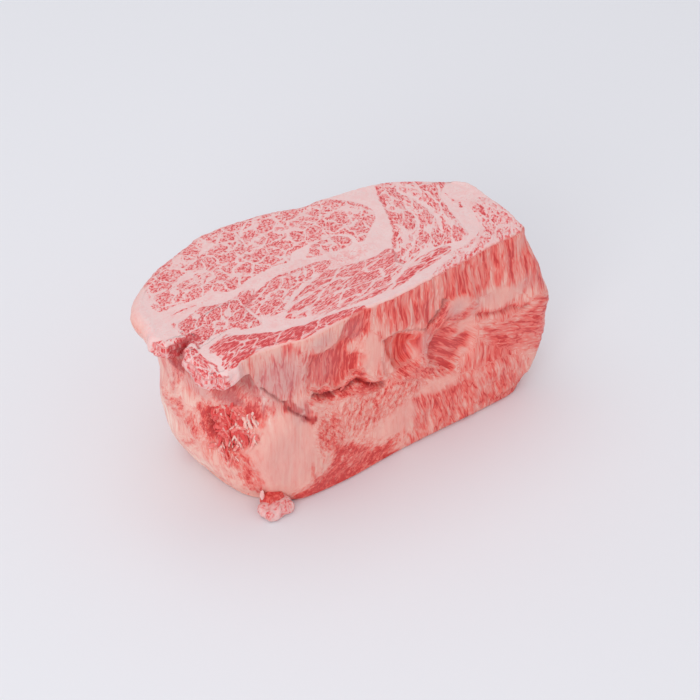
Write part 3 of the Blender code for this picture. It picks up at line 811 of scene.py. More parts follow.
blockRelief = {
    "hollowEase": (0.1, 1.6),
    "crackWide": 0.32, "crackNarrow": 0.62,       # shares of a crack's depth
    "wideReach": 2.0, "narrowReach": (0.1, 0.7),     # half widths; where the narrow part begins
    # painted shade along the cracks: where it fades, its reach, how noise breaks it up, and the share
    # left where broken
    "crackShadeReach": (0.2, 0.5, 0.7), "crackBreak": 4.0, "breakEase": (-0.5, 0.3), "crackLeft": 0.35,
    "sinkEase": (-0.7, 0.9),     # mm over which a muscle of the front sinks in
    "frontFacing": (0.5, 0.9), "plainFacing": (0.35, 0.7),      # how far it faces the front
    "edgeFade": 0.006,           # metres over which the unevenness starts at an edge
    "leanEase": (-0.5, 1.0), "fibreHeight": 0.42, "fibreSize": 2.6,
    "skinHeight": 0.20, "skinSize": 4.0, "skinDrawn": (1.0, 1.0, 0.35),
    "domeHeight": 0.30, "domeEase": (-0.5, 3.5), "domeLevel": 0.8,
    "topGrainHeight": 0.10, "topGrainSize": 2.4, "rimFade": 4.0,    # facets
    "tornHeight": 1.6, "tornSize": 0.0060, "tornSpan": (0.0735, 0.0765), "tornLevel": 0.4,
    "liftDepth": 0.020,          # metres below the top from which the wall rises with its edge
    # painted shade under the torn lip: its share, the heights over which it fades out towards the lip,
    # and those over which it fades in from below
    "underLipShadeShare": 0.7, "underLipTop": (0.0755, 0.0725), "underLipFoot": (0.056, 0.066),
    "lipWarm": 0.15,             # share of a wall's warm colours that the torn lip has
    "roundTurn": (0.35, 0.95),   # radians over which the rounding turns into the cut face
}

# the torn corner under the flap, in mm: red pulp with crests, a hollow beside it that is darkened with
# painted shade, and a recess above; push is how far each stands out
tornCorner = {
    "pulp": {"centre": (-61.0, -27.0, 41.5), "half": (10.0, 13.0, 13.0), "ease": (1.2, 0.6),
             "push": 2.0},
    "hollow": {"centre": (-64.5, -19.5, 42.0), "half": (5.0, 4.5, 9.0), "ease": (1.0, 0.3),
               "push": -2.6},
    "recess": {"centre": (-61.0, -24.0, 64.0), "half": (12.0, 14.0, 9.0), "ease": (1.0, 0.3),
               "push": -2.5},
    "crestSize": 5.0, "crestDrawn": (1.0, 1.0, 0.5), "crestLevel": 0.5, "crestSlope": 2.2,
    # how much painted shade darkens the hollow, and over what reach
    "hollowShadeShare": 0.55, "hollowShadeEase": (1.0, 0.4),
}


def cornerReach(points, part):
    # 0 at the part's centre and 1 on the ellipsoid with its half sizes
    return np.linalg.norm((points / millimetre - part["centre"]) / np.array(part["half"]), axis=-1)


def hollowDepth(x, z, hollow):
    # its depth in the middle, easing to 0 as |across|^3 + |up|^3 over the half sizes grows
    (middleX, middleZ), (halfX, halfZ), deep = hollow
    square = np.abs((x - middleX) / halfX) ** 3 + np.abs((z - middleZ) / halfZ) ** 3
    return deep * (1.0 - easeStep(*blockRelief["hollowEase"], square))


def frontRelief(x, z):
    # in mm inwards: cracks with a narrow bottom, hollows, swellings and sunken muscles
    relief = blockRelief
    start, end = relief["narrowReach"]
    depth = np.zeros(x.shape)
    for split in frontCracks:
        away = lineDistance(x, z, split["path"])
        wide = 1.0 - easeStep(0.0, relief["wideReach"] * split["half"], away)
        narrow = 1.0 - easeStep(start, end * split["half"], away)
        shape = relief["crackWide"] * wide + relief["crackNarrow"] * narrow
        depth = np.maximum(depth, split["deep"] * shape)
    for hollow in frontHollows:
        depth = np.maximum(depth, hollowDepth(x, z, hollow))
    for swelling in frontSwellings:
        depth = depth - hollowDepth(x, z, swelling)
    for part in wallMuscles.values():
        inside = depthInside(x, z, part["outline"])
        sunk = part["sunk"] * easeStep(*part.get("ease", relief["sinkEase"]), inside)
        if "shallow" in part:
            top, bottom, share = part["shallow"]
            sunk = sunk * (share + (1.0 - share) * easeStep(top, bottom, z))
        depth = depth + sunk
    return depth


def paintedCrackShade(x, z):
    # painted shade: 1 along the bottom of a crack, fading just past its half width, and broken up by
    # noise
    shadeAndStain = np.zeros(x.shape)
    start, least, gain = blockRelief["crackShadeReach"]
    for split in frontCracks:
        away = lineDistance(x, z, split["path"])
        fade = 1.0 - easeStep(start, least + gain * split["half"], away)
        shadeAndStain = np.maximum(shadeAndStain, split["shadeAndStain"] * fade)
    broken = softNoise(np.stack([x, z, 0.0 * x], axis=-1), blockRelief["crackBreak"], 15)
    left = blockRelief["crackLeft"]
    return shadeAndStain * (left + (1.0 - left) * easeStep(*blockRelief["breakEase"], broken))


def wallPush(points, normals, top, wall, x, z):
    # metres outwards: the front's own relief, slow unevenness, fibres where it is lean and a
    # finer skin where it is fat, the pulp and hollows of the torn corner, and its ragged lip
    form, relief, corner = blockForm, blockRelief, tornCorner
    places, heights = points / millimetre, points[..., 2]
    fibres = roughNoise(wall["grain"], relief["fibreSize"], 11, 2)
    skin = roughNoise(places * relief["skinDrawn"], relief["skinSize"], 12)
    lean = easeStep(*relief["leanEase"], wall["lean"])
    push = relief["fibreHeight"] * fibres * lean + relief["skinHeight"] * skin * (1.0 - lean)
    push -= frontRelief(x, z) * easeStep(*relief["frontFacing"], -normals[..., 1])
    crests = softNoise(places * corner["crestDrawn"], corner["crestSize"], 2)
    crests = corner["crestLevel"] - corner["crestSlope"] * np.abs(crests)
    for name, shape in (("pulp", crests), ("hollow", 1.0), ("recess", 1.0)):
        part = corner[name]
        push += part["push"] * easeStep(*part["ease"], cornerReach(points, part)) * shape
    torn = tornShare(top) * easeStep(*relief["tornSpan"], heights)
    ragged = roughNoise(points, relief["tornSize"], 5) - relief["tornLevel"]
    push += relief["tornHeight"] * torn * ragged
    fade = easeStep(0.0, relief["edgeFade"], np.minimum(heights, form["height"] - heights))
    uneven = form["wallUnevenness"] * softNoise(points, form["wallUnevenSize"], 1) * fade
    return millimetre * push + uneven


def cutFace(rim, sides):
    # the inner points of the patch: domed muscles and a fine grain on the uneven top, which
    # begin a few facets inside the rim
    relief = blockRelief
    patch = coonsPatch(rim[:, :2], *sides)
    plan = patch[1:-1, 1:-1].reshape(-1, 2)
    x, y = inMillimetres(plan)
    face = topTissue(x, y)
    rough = softNoise(face["grain"], relief["topGrainSize"], 13)
    dome = easeStep(*relief["domeEase"], face["lean"]) - relief["domeLevel"]
    row, column = np.indices(patch.shape[:2])
    gaps = (row, column, len(patch) - 1 - row, patch.shape[1] - 1 - column)
    fadeIn = easeStep(0.0, relief["rimFade"], np.minimum.reduce(gaps)[1:-1, 1:-1].ravel())
    grown = relief["domeHeight"] * dome + relief["topGrainHeight"] * rough
    heights = topHeight(plan[:, 0], plan[:, 1]) + fadeIn * millimetre * grown
    face["points"] = raised(plan, heights)
    blush = spotsAt(x, y, topBlush, blockTissue["blushEase"], np.add)
    face["mottle"] = blockTissue["topMottle"] + blush
    return face


def baseBands(edge):
    # rings that shrink from the foot's edge, and the middle, with one grain all over
    form = blockForm
    scales = np.linspace(form["baseInner"], form["baseOuter"], form["baseRings"])[:, None, None]
    points = edge * scales * np.array([1.0, 1.0, 0.0])
    x, y, z = inMillimetres(points)
    spreadX, spreadY = blockTissue["baseSpread"]
    base = topTissue(x * spreadX, y * spreadY)
    base["grain"] = grainOf(x, y, z, blockTissue["baseGrain"])
    middle = {key: value[0, :1] for key, value in base.items()}
    return {**base, "points": points}, {**middle, "points": np.zeros((1, 3))}


def gathered(bands, key, usual=None, width=()):
    # one value of all the bands' points in a row; a band without it has the usual one
    return np.concatenate([
        np.broadcast_to(band.get(key, usual), band["points"].shape[:-1] + width).reshape(-1, *width)
        for band in bands])


def buildBlock():
    # six bands of points: the base's rings, the rounded foot, the wall, the rounded edge, the
    # cut face and the middle of the base; each has its points, tissue, warmth, mottle, and painted
    # shade with dark stain
    form, relief, tissue = blockForm, blockRelief, blockTissue
    places = outlinePlaces()
    levels = [millimetre * closedCurve([row[level] for row in blockOutline], places)
              for level in range(3)]
    top = levels[0]
    torn = tornShare(top)
    points, normals, radius = wallRows(*levels)
    heights = points[..., 2].copy()
    hollowOut = cornerReach(points, tornCorner["hollow"])

    # the foot and the wall share one tissue, and the lip takes the cut face's
    footPoints = footRows(*levels)
    both = np.concatenate([footPoints, points])
    skin, x, z = wallTissue(both, roundDistance(both[..., :2]))
    x, z = x[len(footPoints):], z[len(footPoints):]
    smooth = skin.pop("smooth")[len(footPoints):]
    foot = {key: value[:len(footPoints)] for key, value in skin.items()}
    foot.update(points=footPoints, warm=1.0)
    wall = {key: value[len(footPoints):] for key, value in skin.items()}
    lip = torn * easeStep(*tissue["lipSpan"], heights)
    lipX, lipY, lipZ = inMillimetres(points)
    wall = mixTissue(wall, topTissue(lipX, lipY, tissue["lipRise"] * lipZ), lip)

    # relief, and the rounded edge, which turns from the wall's tissue into the cut face's
    push = wallPush(points, normals, top, wall, x, z)
    points[..., :2] += normals * push[..., None]
    edgePoints, lift, angles = edgeRows(*levels, radius, push[-1])
    lastWall = form["height"] - form["fatRimRadius"]
    points[..., 2] += lift * easeStep(form["height"] - relief["liftDepth"], lastWall, heights)
    highWall = {key: np.repeat(value[-1:], form["roundRows"], axis=0)
                for key, value in wall.items()}
    edge = mixTissue(highWall, topTissue(*inMillimetres(edgePoints[..., :2])),
                     easeStep(*relief["roundTurn"], angles) + 0.0 * radius)
    cool = 1.0 - relief["lipWarm"]
    edge.update(points=edgePoints, warm=(1.0 - angles / (0.5 * math.pi)) * (1.0 - cool * lip[-1]))

    # the wall's painted shade in the cracks, under the lip and in the hollow, and how streaked it is
    front = easeStep(*relief["frontFacing"], -normals[..., 1])
    paintedUnderLipShade = (relief["underLipShadeShare"] * torn * easeStep(*relief["underLipTop"], heights)
                * easeStep(*relief["underLipFoot"], heights))
    paintedHollowShade = tornCorner["hollowShadeShare"] * easeStep(*tornCorner["hollowShadeEase"], hollowOut)
    wall["shadeAndStain"] = np.maximum.reduce([wall["shadeAndStain"], paintedCrackShade(x, z) * front, paintedUnderLipShade, paintedHollowShade])
    plain = (spotsAt(x, z, plainFat, tissue["plainEase"])
             * easeStep(*relief["plainFacing"], -normals[..., 1]))
    mottle = (1.0 - (1.0 - tissue["plainMottle"]) * plain - tissue["sideSmooth"] * smooth
              + spotsAt(x, z, streakySkin, tissue["streakyEase"], np.add))
    wall.update(points=points, warm=1.0 - cool * lip, mottle=mottle,
                tint=wallTint(points, x, z, plain) * (1.0 - lip)[..., None])

    sides = rimSides()
    face = cutFace(edgePoints[-1], sides)
    base, middle = baseBands(footPoints[0])
    rings = [base, foot, wall, edge]
    bands = rings + [face, middle]
    ringCount = sum(len(ring["points"]) for ring in rings)
    faces = blockFaces(ringCount, len(top), sides)
    allPoints = insideBox(gathered(bands, "points", width=(3,)), form["boxMargin"])
    block = meshFromArrays("chuckRollMeat", allPoints, faces)
    addVectors(block, "grain", gathered(bands, "grain", width=(3,)))
    addVectors(block, "tissue", np.stack([gathered(bands, key)
                                          for key in ("lean", "marbling", "tone")], axis=-1))
    addVectors(block, "warmShadeMottle", np.stack([
        gathered(bands, "warm", 0.0), gathered(bands, "shadeAndStain"),
        gathered(bands, "mottle", tissue["topMottle"])], axis=-1))
    addVectors(block, "tint", gathered(bands, "tint", 0.0, (3,)))
    return block, points, normals


# node helpers

def linear(red, green, blue):
    # sRGB steps of 0 to 255 as the linear values that the nodes take
    steps = np.array([red, green, blue]) / 255.0
    values = np.where(steps <= 0.04045, steps / 12.92, ((steps + 0.055) / 1.055) ** 2.4)
    return (*values.tolist(), 1.0)


class signal:
    # an output socket that is reckoned with like a number: each step adds a maths node
    def __init__(self, socket):
        self.socket = socket
        self.tree = socket.id_data

    def maths(self, operation, first, second=0.0):
        return nodeWith(self.tree, "ShaderNodeMath", {0: first, 1: second}, operation=operation)

    def __add__(self, other):
        return self.maths("ADD", self, other)

    def __sub__(self, other):
        return self.maths("SUBTRACT", self, other)

    def __rsub__(self, other):
        return self.maths("SUBTRACT", other, self)

    def __mul__(self, other):
        return self.maths("MULTIPLY", self, other)

    def __abs__(self):
        return self.maths("ABSOLUTE", self)

    def larger(self, other):
        return self.maths("MAXIMUM", self, other)

    __radd__, __rmul__ = __add__, __mul__


def feed(value, socket):
    if isinstance(value, signal):
        value.tree.links.new(value.socket, socket)
    else:
        socket.default_value = value


def nodeWith(tree, kind, inputs, output=0, **settings):
    # a node with its inputs fed and its settings made; gives one of its outputs, or all of them
    node = tree.nodes.new(kind)
    for name, value in settings.items():
        setattr(node, name, value)
    for name, value in inputs.items():
        feed(value, node.inputs[name])
    if output is None:
        return [signal(socket) for socket in node.outputs]
    return signal(node.outputs[output])


def noise(places, scale, detail=2.0, roughness=0.5, output="Fac"):
    inputs = {"Vector": places, "Scale": scale, "Detail": detail, "Roughness": roughness}
    return nodeWith(places.tree, "ShaderNodeTexNoise", inputs, output)


def spread(value, low, high, first=0.0, second=1.0):
    # eases from first to second as the value goes from low to high
    inputs = {"Value": value, "From Min": low, "From Max": high, "To Min": first, "To Max": second}
    return nodeWith(value.tree, "ShaderNodeMapRange", inputs, "Result",
                    interpolation_type="SMOOTHSTEP")


def vectorMaths(operation, first, second, slot=1):
    return nodeWith(first.tree, "ShaderNodeVectorMath", {0: first, slot: second},
                    operation=operation)


def mixNumber(share, first, second):
    # the first where the share is 0, the second where it is 1
    return nodeWith(share.tree, "ShaderNodeMix", {0: share, 2: first, 3: second})


def mixColour(share, first, second):
    return nodeWith(share.tree, "ShaderNodeMix", {0: share, 6: first, 7: second}, 2,
                    data_type="RGBA", clamp_factor=True)


def rampNode(share, stops):
    # colours at places from 0 to 1, eased between them
    node = share.tree.nodes.new("ShaderNodeValToRGB")
    feed(share, node.inputs[0])
    elements = node.color_ramp.elements
    for place, colour in stops[2:]:
        elements.new(place)
    for element, (place, colour) in zip(elements, stops):
        element.position = place
        element.color = linear(*colour)
    return signal(node.outputs["Color"])


def attributeOf(tree, name):
    return nodeWith(tree, "ShaderNodeAttribute", {}, "Vector", attribute_name=name)


def separated(vector):
    return nodeWith(vector.tree, "ShaderNodeSeparateXYZ", {0: vector}, None)


def objectPlace(tree):
    return nodeWith(tree, "ShaderNodeTexCoord", {}, "Object")


def newMaterial(name, constants):
    # a material, its tree and its shader, whose unlinked inputs get the constants
    material = bpy.data.materials.new(name)
    material.use_nodes = True
    shader = material.node_tree.nodes["Principled BSDF"]
    for label, value in constants.items():
        shader.inputs[label].default_value = value
    return material, material.node_tree, shader


# shared effect: marbling

marbling = {
    "slowBend": (6.2, 2.6, 2.0), "quickBend": (2.3, 0.75, 1.0),     # size and reach in mm, detail
    # size, width, what the width gains with the marbling, softness and strength of the veins
    "bigBundle": (8.5, 0.12, 1.35, 0.30, 1.0), "bundle": (3.8, -0.16, 0.92, 0.28, 0.85),
    "smallBundle": (1.55, 0.04, 0.24, 0.22, 0.28),
    "swellWide": (0.22, 3.0), "swellFine": (0.55, 2.0), "swell": (0.3, 0.7),
    # where flecks begin in their noise, how much marbling lowers that, and their softness
    "flecks": (0.78, 2.0, 0.55), "fleckStart": 0.595, "fleckGain": 0.16, "fleckSoft": 0.11,
    "fleckStrength": 0.85,
}


def veins(places, share, swelling, setting):
    # along the borders of cells, out to a width that swells and vanishes, with a soft edge
    size, base, gain, soft, strength = setting
    inputs = {"Vector": places, "Scale": 1.0 / size}
    away = size * nodeWith(places.tree, "ShaderNodeTexVoronoi", inputs, "Distance",
                           feature="DISTANCE_TO_EDGE")
    width = share * gain * swelling + base
    return strength * spread(away, width - soft, width + soft, 1.0, 0.0)


def marblingGroup():
    # three sizes of cell borders, bent by slow and quick noise, their width following another
    # noise and the marbling that is asked for, and flecks of fat between them
    look = marbling
    group = bpy.data.node_groups.new("marbling", "ShaderNodeTree")
    for label, kind, way in (("Grain", "Vector", "INPUT"), ("Marbling", "Float", "INPUT"),
                             ("Fat", "Float", "OUTPUT"), ("Bundle", "Float", "OUTPUT")):
        group.interface.new_socket(label, in_out=way, socket_type="NodeSocket" + kind)
    grain, share = (signal(socket) for socket in group.nodes.new("NodeGroupInput").outputs[:2])
    result = group.nodes.new("NodeGroupOutput").inputs
    places = grain
    for size, reach, detail in (look["slowBend"], look["quickBend"]):
        colour = noise(grain, 1.0 / size, detail, output="Color")
        centred = vectorMaths("SUBTRACT", colour, (0.5, 0.5, 0.5))
        places = vectorMaths("ADD", places, vectorMaths("SCALE", centred, 2.0 * reach, "Scale"))
    wide, fine = (spread(noise(grain, *look[key]), *look["swell"])
                  for key in ("swellWide", "swellFine"))
    fat = veins(places, share, wide, look["bigBundle"])
    fat = fat.larger(veins(places, share, fine, look["bundle"]))
    start = look["fleckStart"] - share * look["fleckGain"]
    flecks = spread(noise(grain, *look["flecks"]), start, start + look["fleckSoft"],
                    0.0, look["fleckStrength"])
    feed(fat.larger(veins(places, share, wide, look["smallBundle"]).larger(flecks)), result["Fat"])
    colours = nodeWith(group, "ShaderNodeTexVoronoi",
                       {"Vector": places, "Scale": 1.0 / look["bundle"][0]}, "Color")
    feed(separated(colours)[0], result["Bundle"])
    return group


# the block's material

beefLook = {
    # colours by redness, from fat at 0 over pink to deep lean at 1
    "topColours": ((0.0, (239, 206, 203)), (0.3, (239, 180, 177)), (0.5, (237, 149, 147)),
                   (0.7, (236, 121, 121)), (0.85, (230, 97, 99)), (1.0, (212, 62, 66))),
    "wallColours": ((0.0, (243, 186, 171)), (0.25, (240, 164, 151)), (0.5, (237, 136, 124)),
                    (0.7, (238, 110, 98)), (0.85, (230, 84, 74)), (1.0, (208, 52, 48))),
    # the crack colour is the dark crimson that painted shade and dark stain mix towards, by at most the
    # share on the next line
    "cream": (250, 218, 204), "purple": (196, 136, 137), "crack": (140, 22, 28),
    "shadeAndStainShare": 0.85,
    # on the cut face and on the walls: mm that noise moves a muscle's border by, and mm over
    # which it turns lean
    "raggedBy": (1.6, 4.0), "leanFrom": (-0.22, -1.9), "leanTo": (0.30, 1.9),
    # scale per mm of grain, detail and roughness of each noise
    "ragged": (0.6, 3.0, 0.6), "cloud": (0.35, 3.0), "fibre": (1.9, 3.0, 0.65),
    "speck": (0.85, 1.5), "wideBlush": (0.22, 4.0, 0.6), "thinBlush": (1.0, 3.0, 0.6),
    "streak": (0.33, 3.0, 0.55), "fineStreak": (0.9, 3.0, 0.6), "skin": (900.0, 3.0, 0.6),
    # the cut face's redness, and how far each noise swings it
    "topLean": 0.56, "topTone": 0.45, "bundleSwing": 0.14, "cloudSwing": 0.5,
    "fibreSwing": 0.3, "speckSwing": 0.55, "speckEase": (0.43, 0.57),
    "wideEase": (0.42, 0.68, 0.0, 0.6), "thinEase": (0.48, 0.70, 0.0, 0.9), "blush": 0.5,
    # the walls' redness, its streaks, and its dark and pale lines as scale, width and amount
    "wallLean": 0.30, "wallTone": 0.52, "wallBase": 0.10, "streakSwing": (0.55, 3.2),
    "fineSwing": 0.9, "darkLines": (0.30, 0.05, 0.30), "paleLines": (0.42, 0.04, -0.24),
    "lineShift": (41.0, 17.0, 29.0), "wallFat": 0.22, "creamEase": (0.35, 0.6, 1.3, 0.25),
    "fibreRise": 0.00020, "skinRise": 0.00006, "leanSink": 0.00008, "bump": 0.7,    # metres
    "fatRoughness": 0.48, "leanRoughness": 0.37,
}
wetMeat = {"Specular IOR Level": 0.4, "Coat Weight": 0.14, "Coat Roughness": 0.22,
           "Subsurface Weight": 0.12, "Subsurface Radius": (1.0, 0.35, 0.3),
           "Subsurface Scale": 0.0015}


def thinLines(places, scale, width):
    # 1 where noise of this scale crosses a half, out to the width
    return spread(abs(noise(places, scale) - 0.5), 0.0, width, 1.0, 0.0)


def beefMaterial(marblingTree):
    # redness of the cut face and of the walls from lean depth, marbling, tone and noise, then
    # colour by ramps, mixed by warm, with cream, purple, dark stain and painted shade of cracks,
    # crevices and hollows over it
    look = beefLook
    material, tree, shader = newMaterial("marbledBeef", wetMeat)
    grain = attributeOf(tree, "grain")
    lean, marblingShare, tone = separated(attributeOf(tree, "tissue"))
    warm, shadeAndStain, mottle = separated(attributeOf(tree, "warmShadeMottle"))
    purple, blood, cream = separated(attributeOf(tree, "tint"))
    fat, bundle = nodeWith(tree, "ShaderNodeGroup", {"Grain": grain, "Marbling": marblingShare},
                           None, node_tree=marblingTree)

    # ragged borders of the muscles, sharp on the cut face and soft on the walls
    reach, low, high = (spread(warm, 0.0, 1.0, *look[key])
                        for key in ("raggedBy", "leanFrom", "leanTo"))
    inLean = spread(lean + (noise(grain, *look["ragged"]) - 0.5) * reach, low, high)

    # the cut face: its redness changes from bundle to bundle and from fibre to fibre
    fibre = noise(grain, *look["fibre"])
    leanShare = inLean * (1.0 - fat)
    redness = look["topLean"] + tone * look["topTone"]
    redness = redness + (bundle - 0.5) * look["bundleSwing"]
    redness = redness + (noise(grain, *look["cloud"]) - 0.5) * look["cloudSwing"]
    redness = redness + (fibre - 0.5) * look["fibreSwing"]
    specks = spread(noise(grain, *look["speck"]), *look["speckEase"])
    redness = redness + (specks - 0.5) * look["speckSwing"]
    blush = spread(noise(grain, *look["wideBlush"]), *look["wideEase"])
    blush = blush.larger(spread(noise(grain, *look["thinBlush"]), *look["thinEase"]))
    topRedness = mixNumber(leanShare, blush * (mottle * look["blush"]), redness)

    # the walls: redness in soft streaks along the grain, with faint dark and pale lines
    streak = noise(grain, *look["streak"])
    base = inLean * (look["wallLean"] + tone * look["wallTone"]) + blood * (1.0 - inLean)
    swing = mottle.larger(inLean)
    least, gain = look["streakSwing"]
    wallRedness = base + look["wallBase"] + (streak - 0.5) * (swing * (least + marblingShare * gain))
    fine = noise(grain, *look["fineStreak"]) - 0.5
    wallRedness = wallRedness + fine * (swing * look["fineSwing"])
    moved = vectorMaths("ADD", grain, look["lineShift"])
    for places, key in ((grain, "darkLines"), (moved, "paleLines")):
        scale, width, amount = look[key]
        wallRedness = wallRedness + thinLines(places, scale, width) * swing * amount
    wallRedness = wallRedness - fat * (inLean * look["wallFat"])

    colour = mixColour(warm, rampNode(topRedness, look["topColours"]),
                       rampNode(wallRedness, look["wallColours"]))
    colour = mixColour(cream * spread(streak, *look["creamEase"]), colour, linear(*look["cream"]))
    colour = mixColour(purple, colour, linear(*look["purple"]))
    # painted shade in cracks, crevices, hollows and under the lip, and dark stain, in the crack colour
    colour = mixColour(shadeAndStain * look["shadeAndStainShare"], colour, linear(*look["crack"]))
    feed(colour, shader.inputs["Base Color"])

    # fine relief: fibres in the lean, the fat a little proud; neither steps where grain does
    height = fibre * inLean * look["fibreRise"]
    height = height + noise(objectPlace(tree), *look["skin"]) * look["skinRise"]
    height = height - leanShare * look["leanSink"]
    bump = nodeWith(tree, "ShaderNodeBump", {"Strength": look["bump"], "Distance": 1.0,
                                             "Height": height})
    feed(bump, shader.inputs["Normal"])
    feed(spread(leanShare, 0.0, 1.0, look["fatRoughness"], look["leanRoughness"]),
         shader.inputs["Roughness"])
    return material


# torn strands: shreds of the corner, threads in the gap

# place, reach and spread are in mm; a strand runs from its root on the wall for a length, the
# way it heads turned from straight down, and stands off the wall by its lift in the middle;
# paler is how much its tint grows towards +x
strandPieces = {
    "tornShreds": {"seed": 5, "count": 300, "centre": (-60.0, -28.0, 45.5),
                   "half": (10.0, 11.0, 11.5), "length": (3.0, 8.5), "radius": (0.13, 0.30),
                   "flat": (1.2, 3.2), "lift": (0.1, 0.9), "turn": (0.05, 0.28), "curl": 0.7,
                   "tint": (0.0, 1.05), "paler": 0.6},
    "redPulp": {"seed": 9, "count": 190, "centre": (-60.5, -27.5, 45.0),
                "half": (9.5, 11.0, 11.0), "length": (1.5, 3.8), "radius": (0.40, 0.80),
                "flat": (1.0, 1.5), "lift": (0.0, 0.5), "turn": (0.0, 0.7), "curl": 0.5,
                "tint": (0.05, 0.80), "paler": 0.5},
    "hangingShreds": {"seed": 14, "count": 40, "centre": (-61.0, -26.0, 33.0),
                      "half": (8.0, 9.0, 6.5), "length": (2.5, 8.0), "radius": (0.12, 0.30),
                      "flat": (1.2, 3.0), "lift": (0.1, 0.8), "turn": (-0.1, 0.4), "curl": 0.6,
                      "tint": (0.2, 0.9), "paler": 0.0},
    "gapThreads": {"seed": 21, "count": 26, "centre": (-13.0, -40.0, 45.5),
                   "half": (17.0, 4.0, 4.0), "length": (1.2, 3.2), "radius": (0.10, 0.22),
                   "flat": (1.0, 2.0), "lift": (0.0, 0.4), "turn": (0.7, 0.6), "curl": 0.5,
                   "tint": (0.1, 0.7), "paler": 0.0},
}
strandForm = {"rings": 14, "sides": 8, "rootDepth": 0.45, "sag": 0.12, "tip": 0.12,
              "lumps": 0.45, "lumpSize": 1.4, "curlTurn": 5.0, "rootEase": (1.0, 0.3)}


def buildStrands(name, setting, wallPoints, wallNormals):
    # roots are drawn among the wall's points inside the ellipsoid; a strand's middle line is
    # root + length * s along its heading + lift * 4s(1 - s) off the wall + a sine curl, and its
    # section is an ellipse whose size follows the root of 1 - (2s - 1)^4, lumpy with noise
    form, count = strandForm, setting["count"]
    draw = np.random.default_rng(setting["seed"])
    places = wallPoints.reshape(-1, 3) / millimetre
    reach = np.linalg.norm((places - setting["centre"]) / np.array(setting["half"]), axis=1)
    weight = easeStep(*form["rootEase"], reach)
    roots = draw.choice(len(places), count, p=weight / weight.sum())
    off = np.column_stack([wallNormals.reshape(-1, 2)[roots], np.zeros(count)])[:, None]
    side = np.cross(off, (0.0, 0.0, 1.0))

    def drawn(key):
        return draw.uniform(*setting[key], count)[:, None, None]
    length, lift, radius, flat = (drawn(key) for key in ("length", "lift", "radius", "flat"))
    paler = setting["paler"] * (places[roots, 0] - setting["centre"][0]) / setting["half"][0]
    tint = drawn("tint") + paler[:, None, None]
    turn = draw.normal(*setting["turn"], count)[:, None, None]
    phase = draw.uniform(0.0, 2.0 * math.pi, count)[:, None, None]
    s = np.linspace(0.0, 1.0, form["rings"])[None, :, None]
    heading = np.cos(turn) * np.array([0.0, 0.0, -1.0]) + np.sin(turn) * side
    middle = (places[roots][:, None] - form["rootDepth"] * off + heading * length * s
              + off * lift * 4.0 * s * (1.0 - s)
              + side * setting["curl"] * s * np.sin(form["curlTurn"] * s + phase)
              - form["sag"] * length * s ** 2 * np.array([0.0, 0.0, 1.0]))
    along = unitLength(np.gradient(middle, axis=1))
    across = unitLength(np.cross(along, off))
    outward = np.cross(across, along)
    lumps = 1.0 + form["lumps"] * softNoise(middle, form["lumpSize"], setting["seed"])
    size = radius * lumps[..., None] * (form["tip"] + np.sqrt(1.0 - (2.0 * s - 1.0) ** 4))
    angle = np.linspace(0.0, 2.0 * math.pi, form["sides"], endpoint=False)[:, None]
    ring = (middle[:, :, None] + size[:, :, None] * (
        flat[:, :, None] * np.cos(angle) * across[:, :, None] + np.sin(angle) * outward[:, :, None]))

    numbers = np.arange(ring.size // 3).reshape(ring.shape[:3])
    ends = numbers.size + np.arange(2 * count).reshape(count, 2)
    points = np.vstack([ring.reshape(-1, 3), middle[:, [0, -1]].reshape(-1, 3)]) * millimetre
    strands = meshFromArrays(name, insideBox(points), tubeFaces(numbers, ends))
    shade = np.concatenate([np.repeat(tint.ravel(), form["rings"] * form["sides"]),
                            np.repeat(tint.ravel(), 2)])
    addVectors(strands, "strand", shade[:, None] * np.array([1.0, 0.0, 0.0]))
    return strands


shredLook = {
    "red": (230, 72, 68), "pink": (242, 122, 114), "white": (250, 196, 184),
    "pinkEase": (0.25, 0.6), "whiteEase": (0.6, 0.9), "cloud": (420.0, 3.0), "cloudSwing": 0.9,
    "shineEase": (0.3, 0.7, 0.26, 0.42),
}
softShred = {"Subsurface Weight": 0.2, "Subsurface Radius": (1.0, 0.35, 0.3),
             "Subsurface Scale": 0.0012}


def shredMaterial():
    # each strand has its own tint, from fresh red over pink to white
    look = shredLook
    material, tree, shader = newMaterial("freshShreds", softShred)
    tint = separated(attributeOf(tree, "strand"))[0]
    cloud = noise(objectPlace(tree), *look["cloud"])
    tint = tint + (cloud - 0.5) * look["cloudSwing"]
    colour = mixColour(spread(tint, *look["pinkEase"]), linear(*look["red"]), linear(*look["pink"]))
    colour = mixColour(spread(tint, *look["whiteEase"]), colour, linear(*look["white"]))
    feed(colour, shader.inputs["Base Color"])
    feed(spread(cloud, *look["shineEase"]), shader.inputs["Roughness"])
    return material


# the scrap at the foot of the corner, in mm; warm is 1 for the colours of a wall

scrapLumps = {
    "scrapStrip": {"centre": (-48.6, -34.4, 5.0), "half": (4.2, 4.0, 3.4), "marbling": 0.12,
                   "tone": 1.0, "lean": 4.0, "warm": 1.0, "angle": 4, "stretch": 5.0, "seed": 31},
    "scrapStrand": {"centre": (-52.4, -33.4, 6.2), "half": (0.4, 0.9, 4.2), "marbling": 0.9,
                    "tone": 0.1, "lean": -4.0, "warm": 0.3, "angle": 4, "stretch": 5.0,
                    "seed": 35},
    "scrapPad": {"centre": (-49.2, -38.0, 2.8), "half": (7.0, 5.0, 3.2), "marbling": 0.7,
                 "tone": 0.45, "lean": 2.5, "warm": 0.15, "angle": 40, "stretch": 1.5, "seed": 33},
}
scrapForm = {"turns": 72, "rises": 40, "square": 0.6, "rough": 0.8, "roughSize": 4.2,
             "floorGap": 0.3, "leanSwing": 2.0, "leanSize": 3.0, "cell": 0.6, "mottle": 0.8}


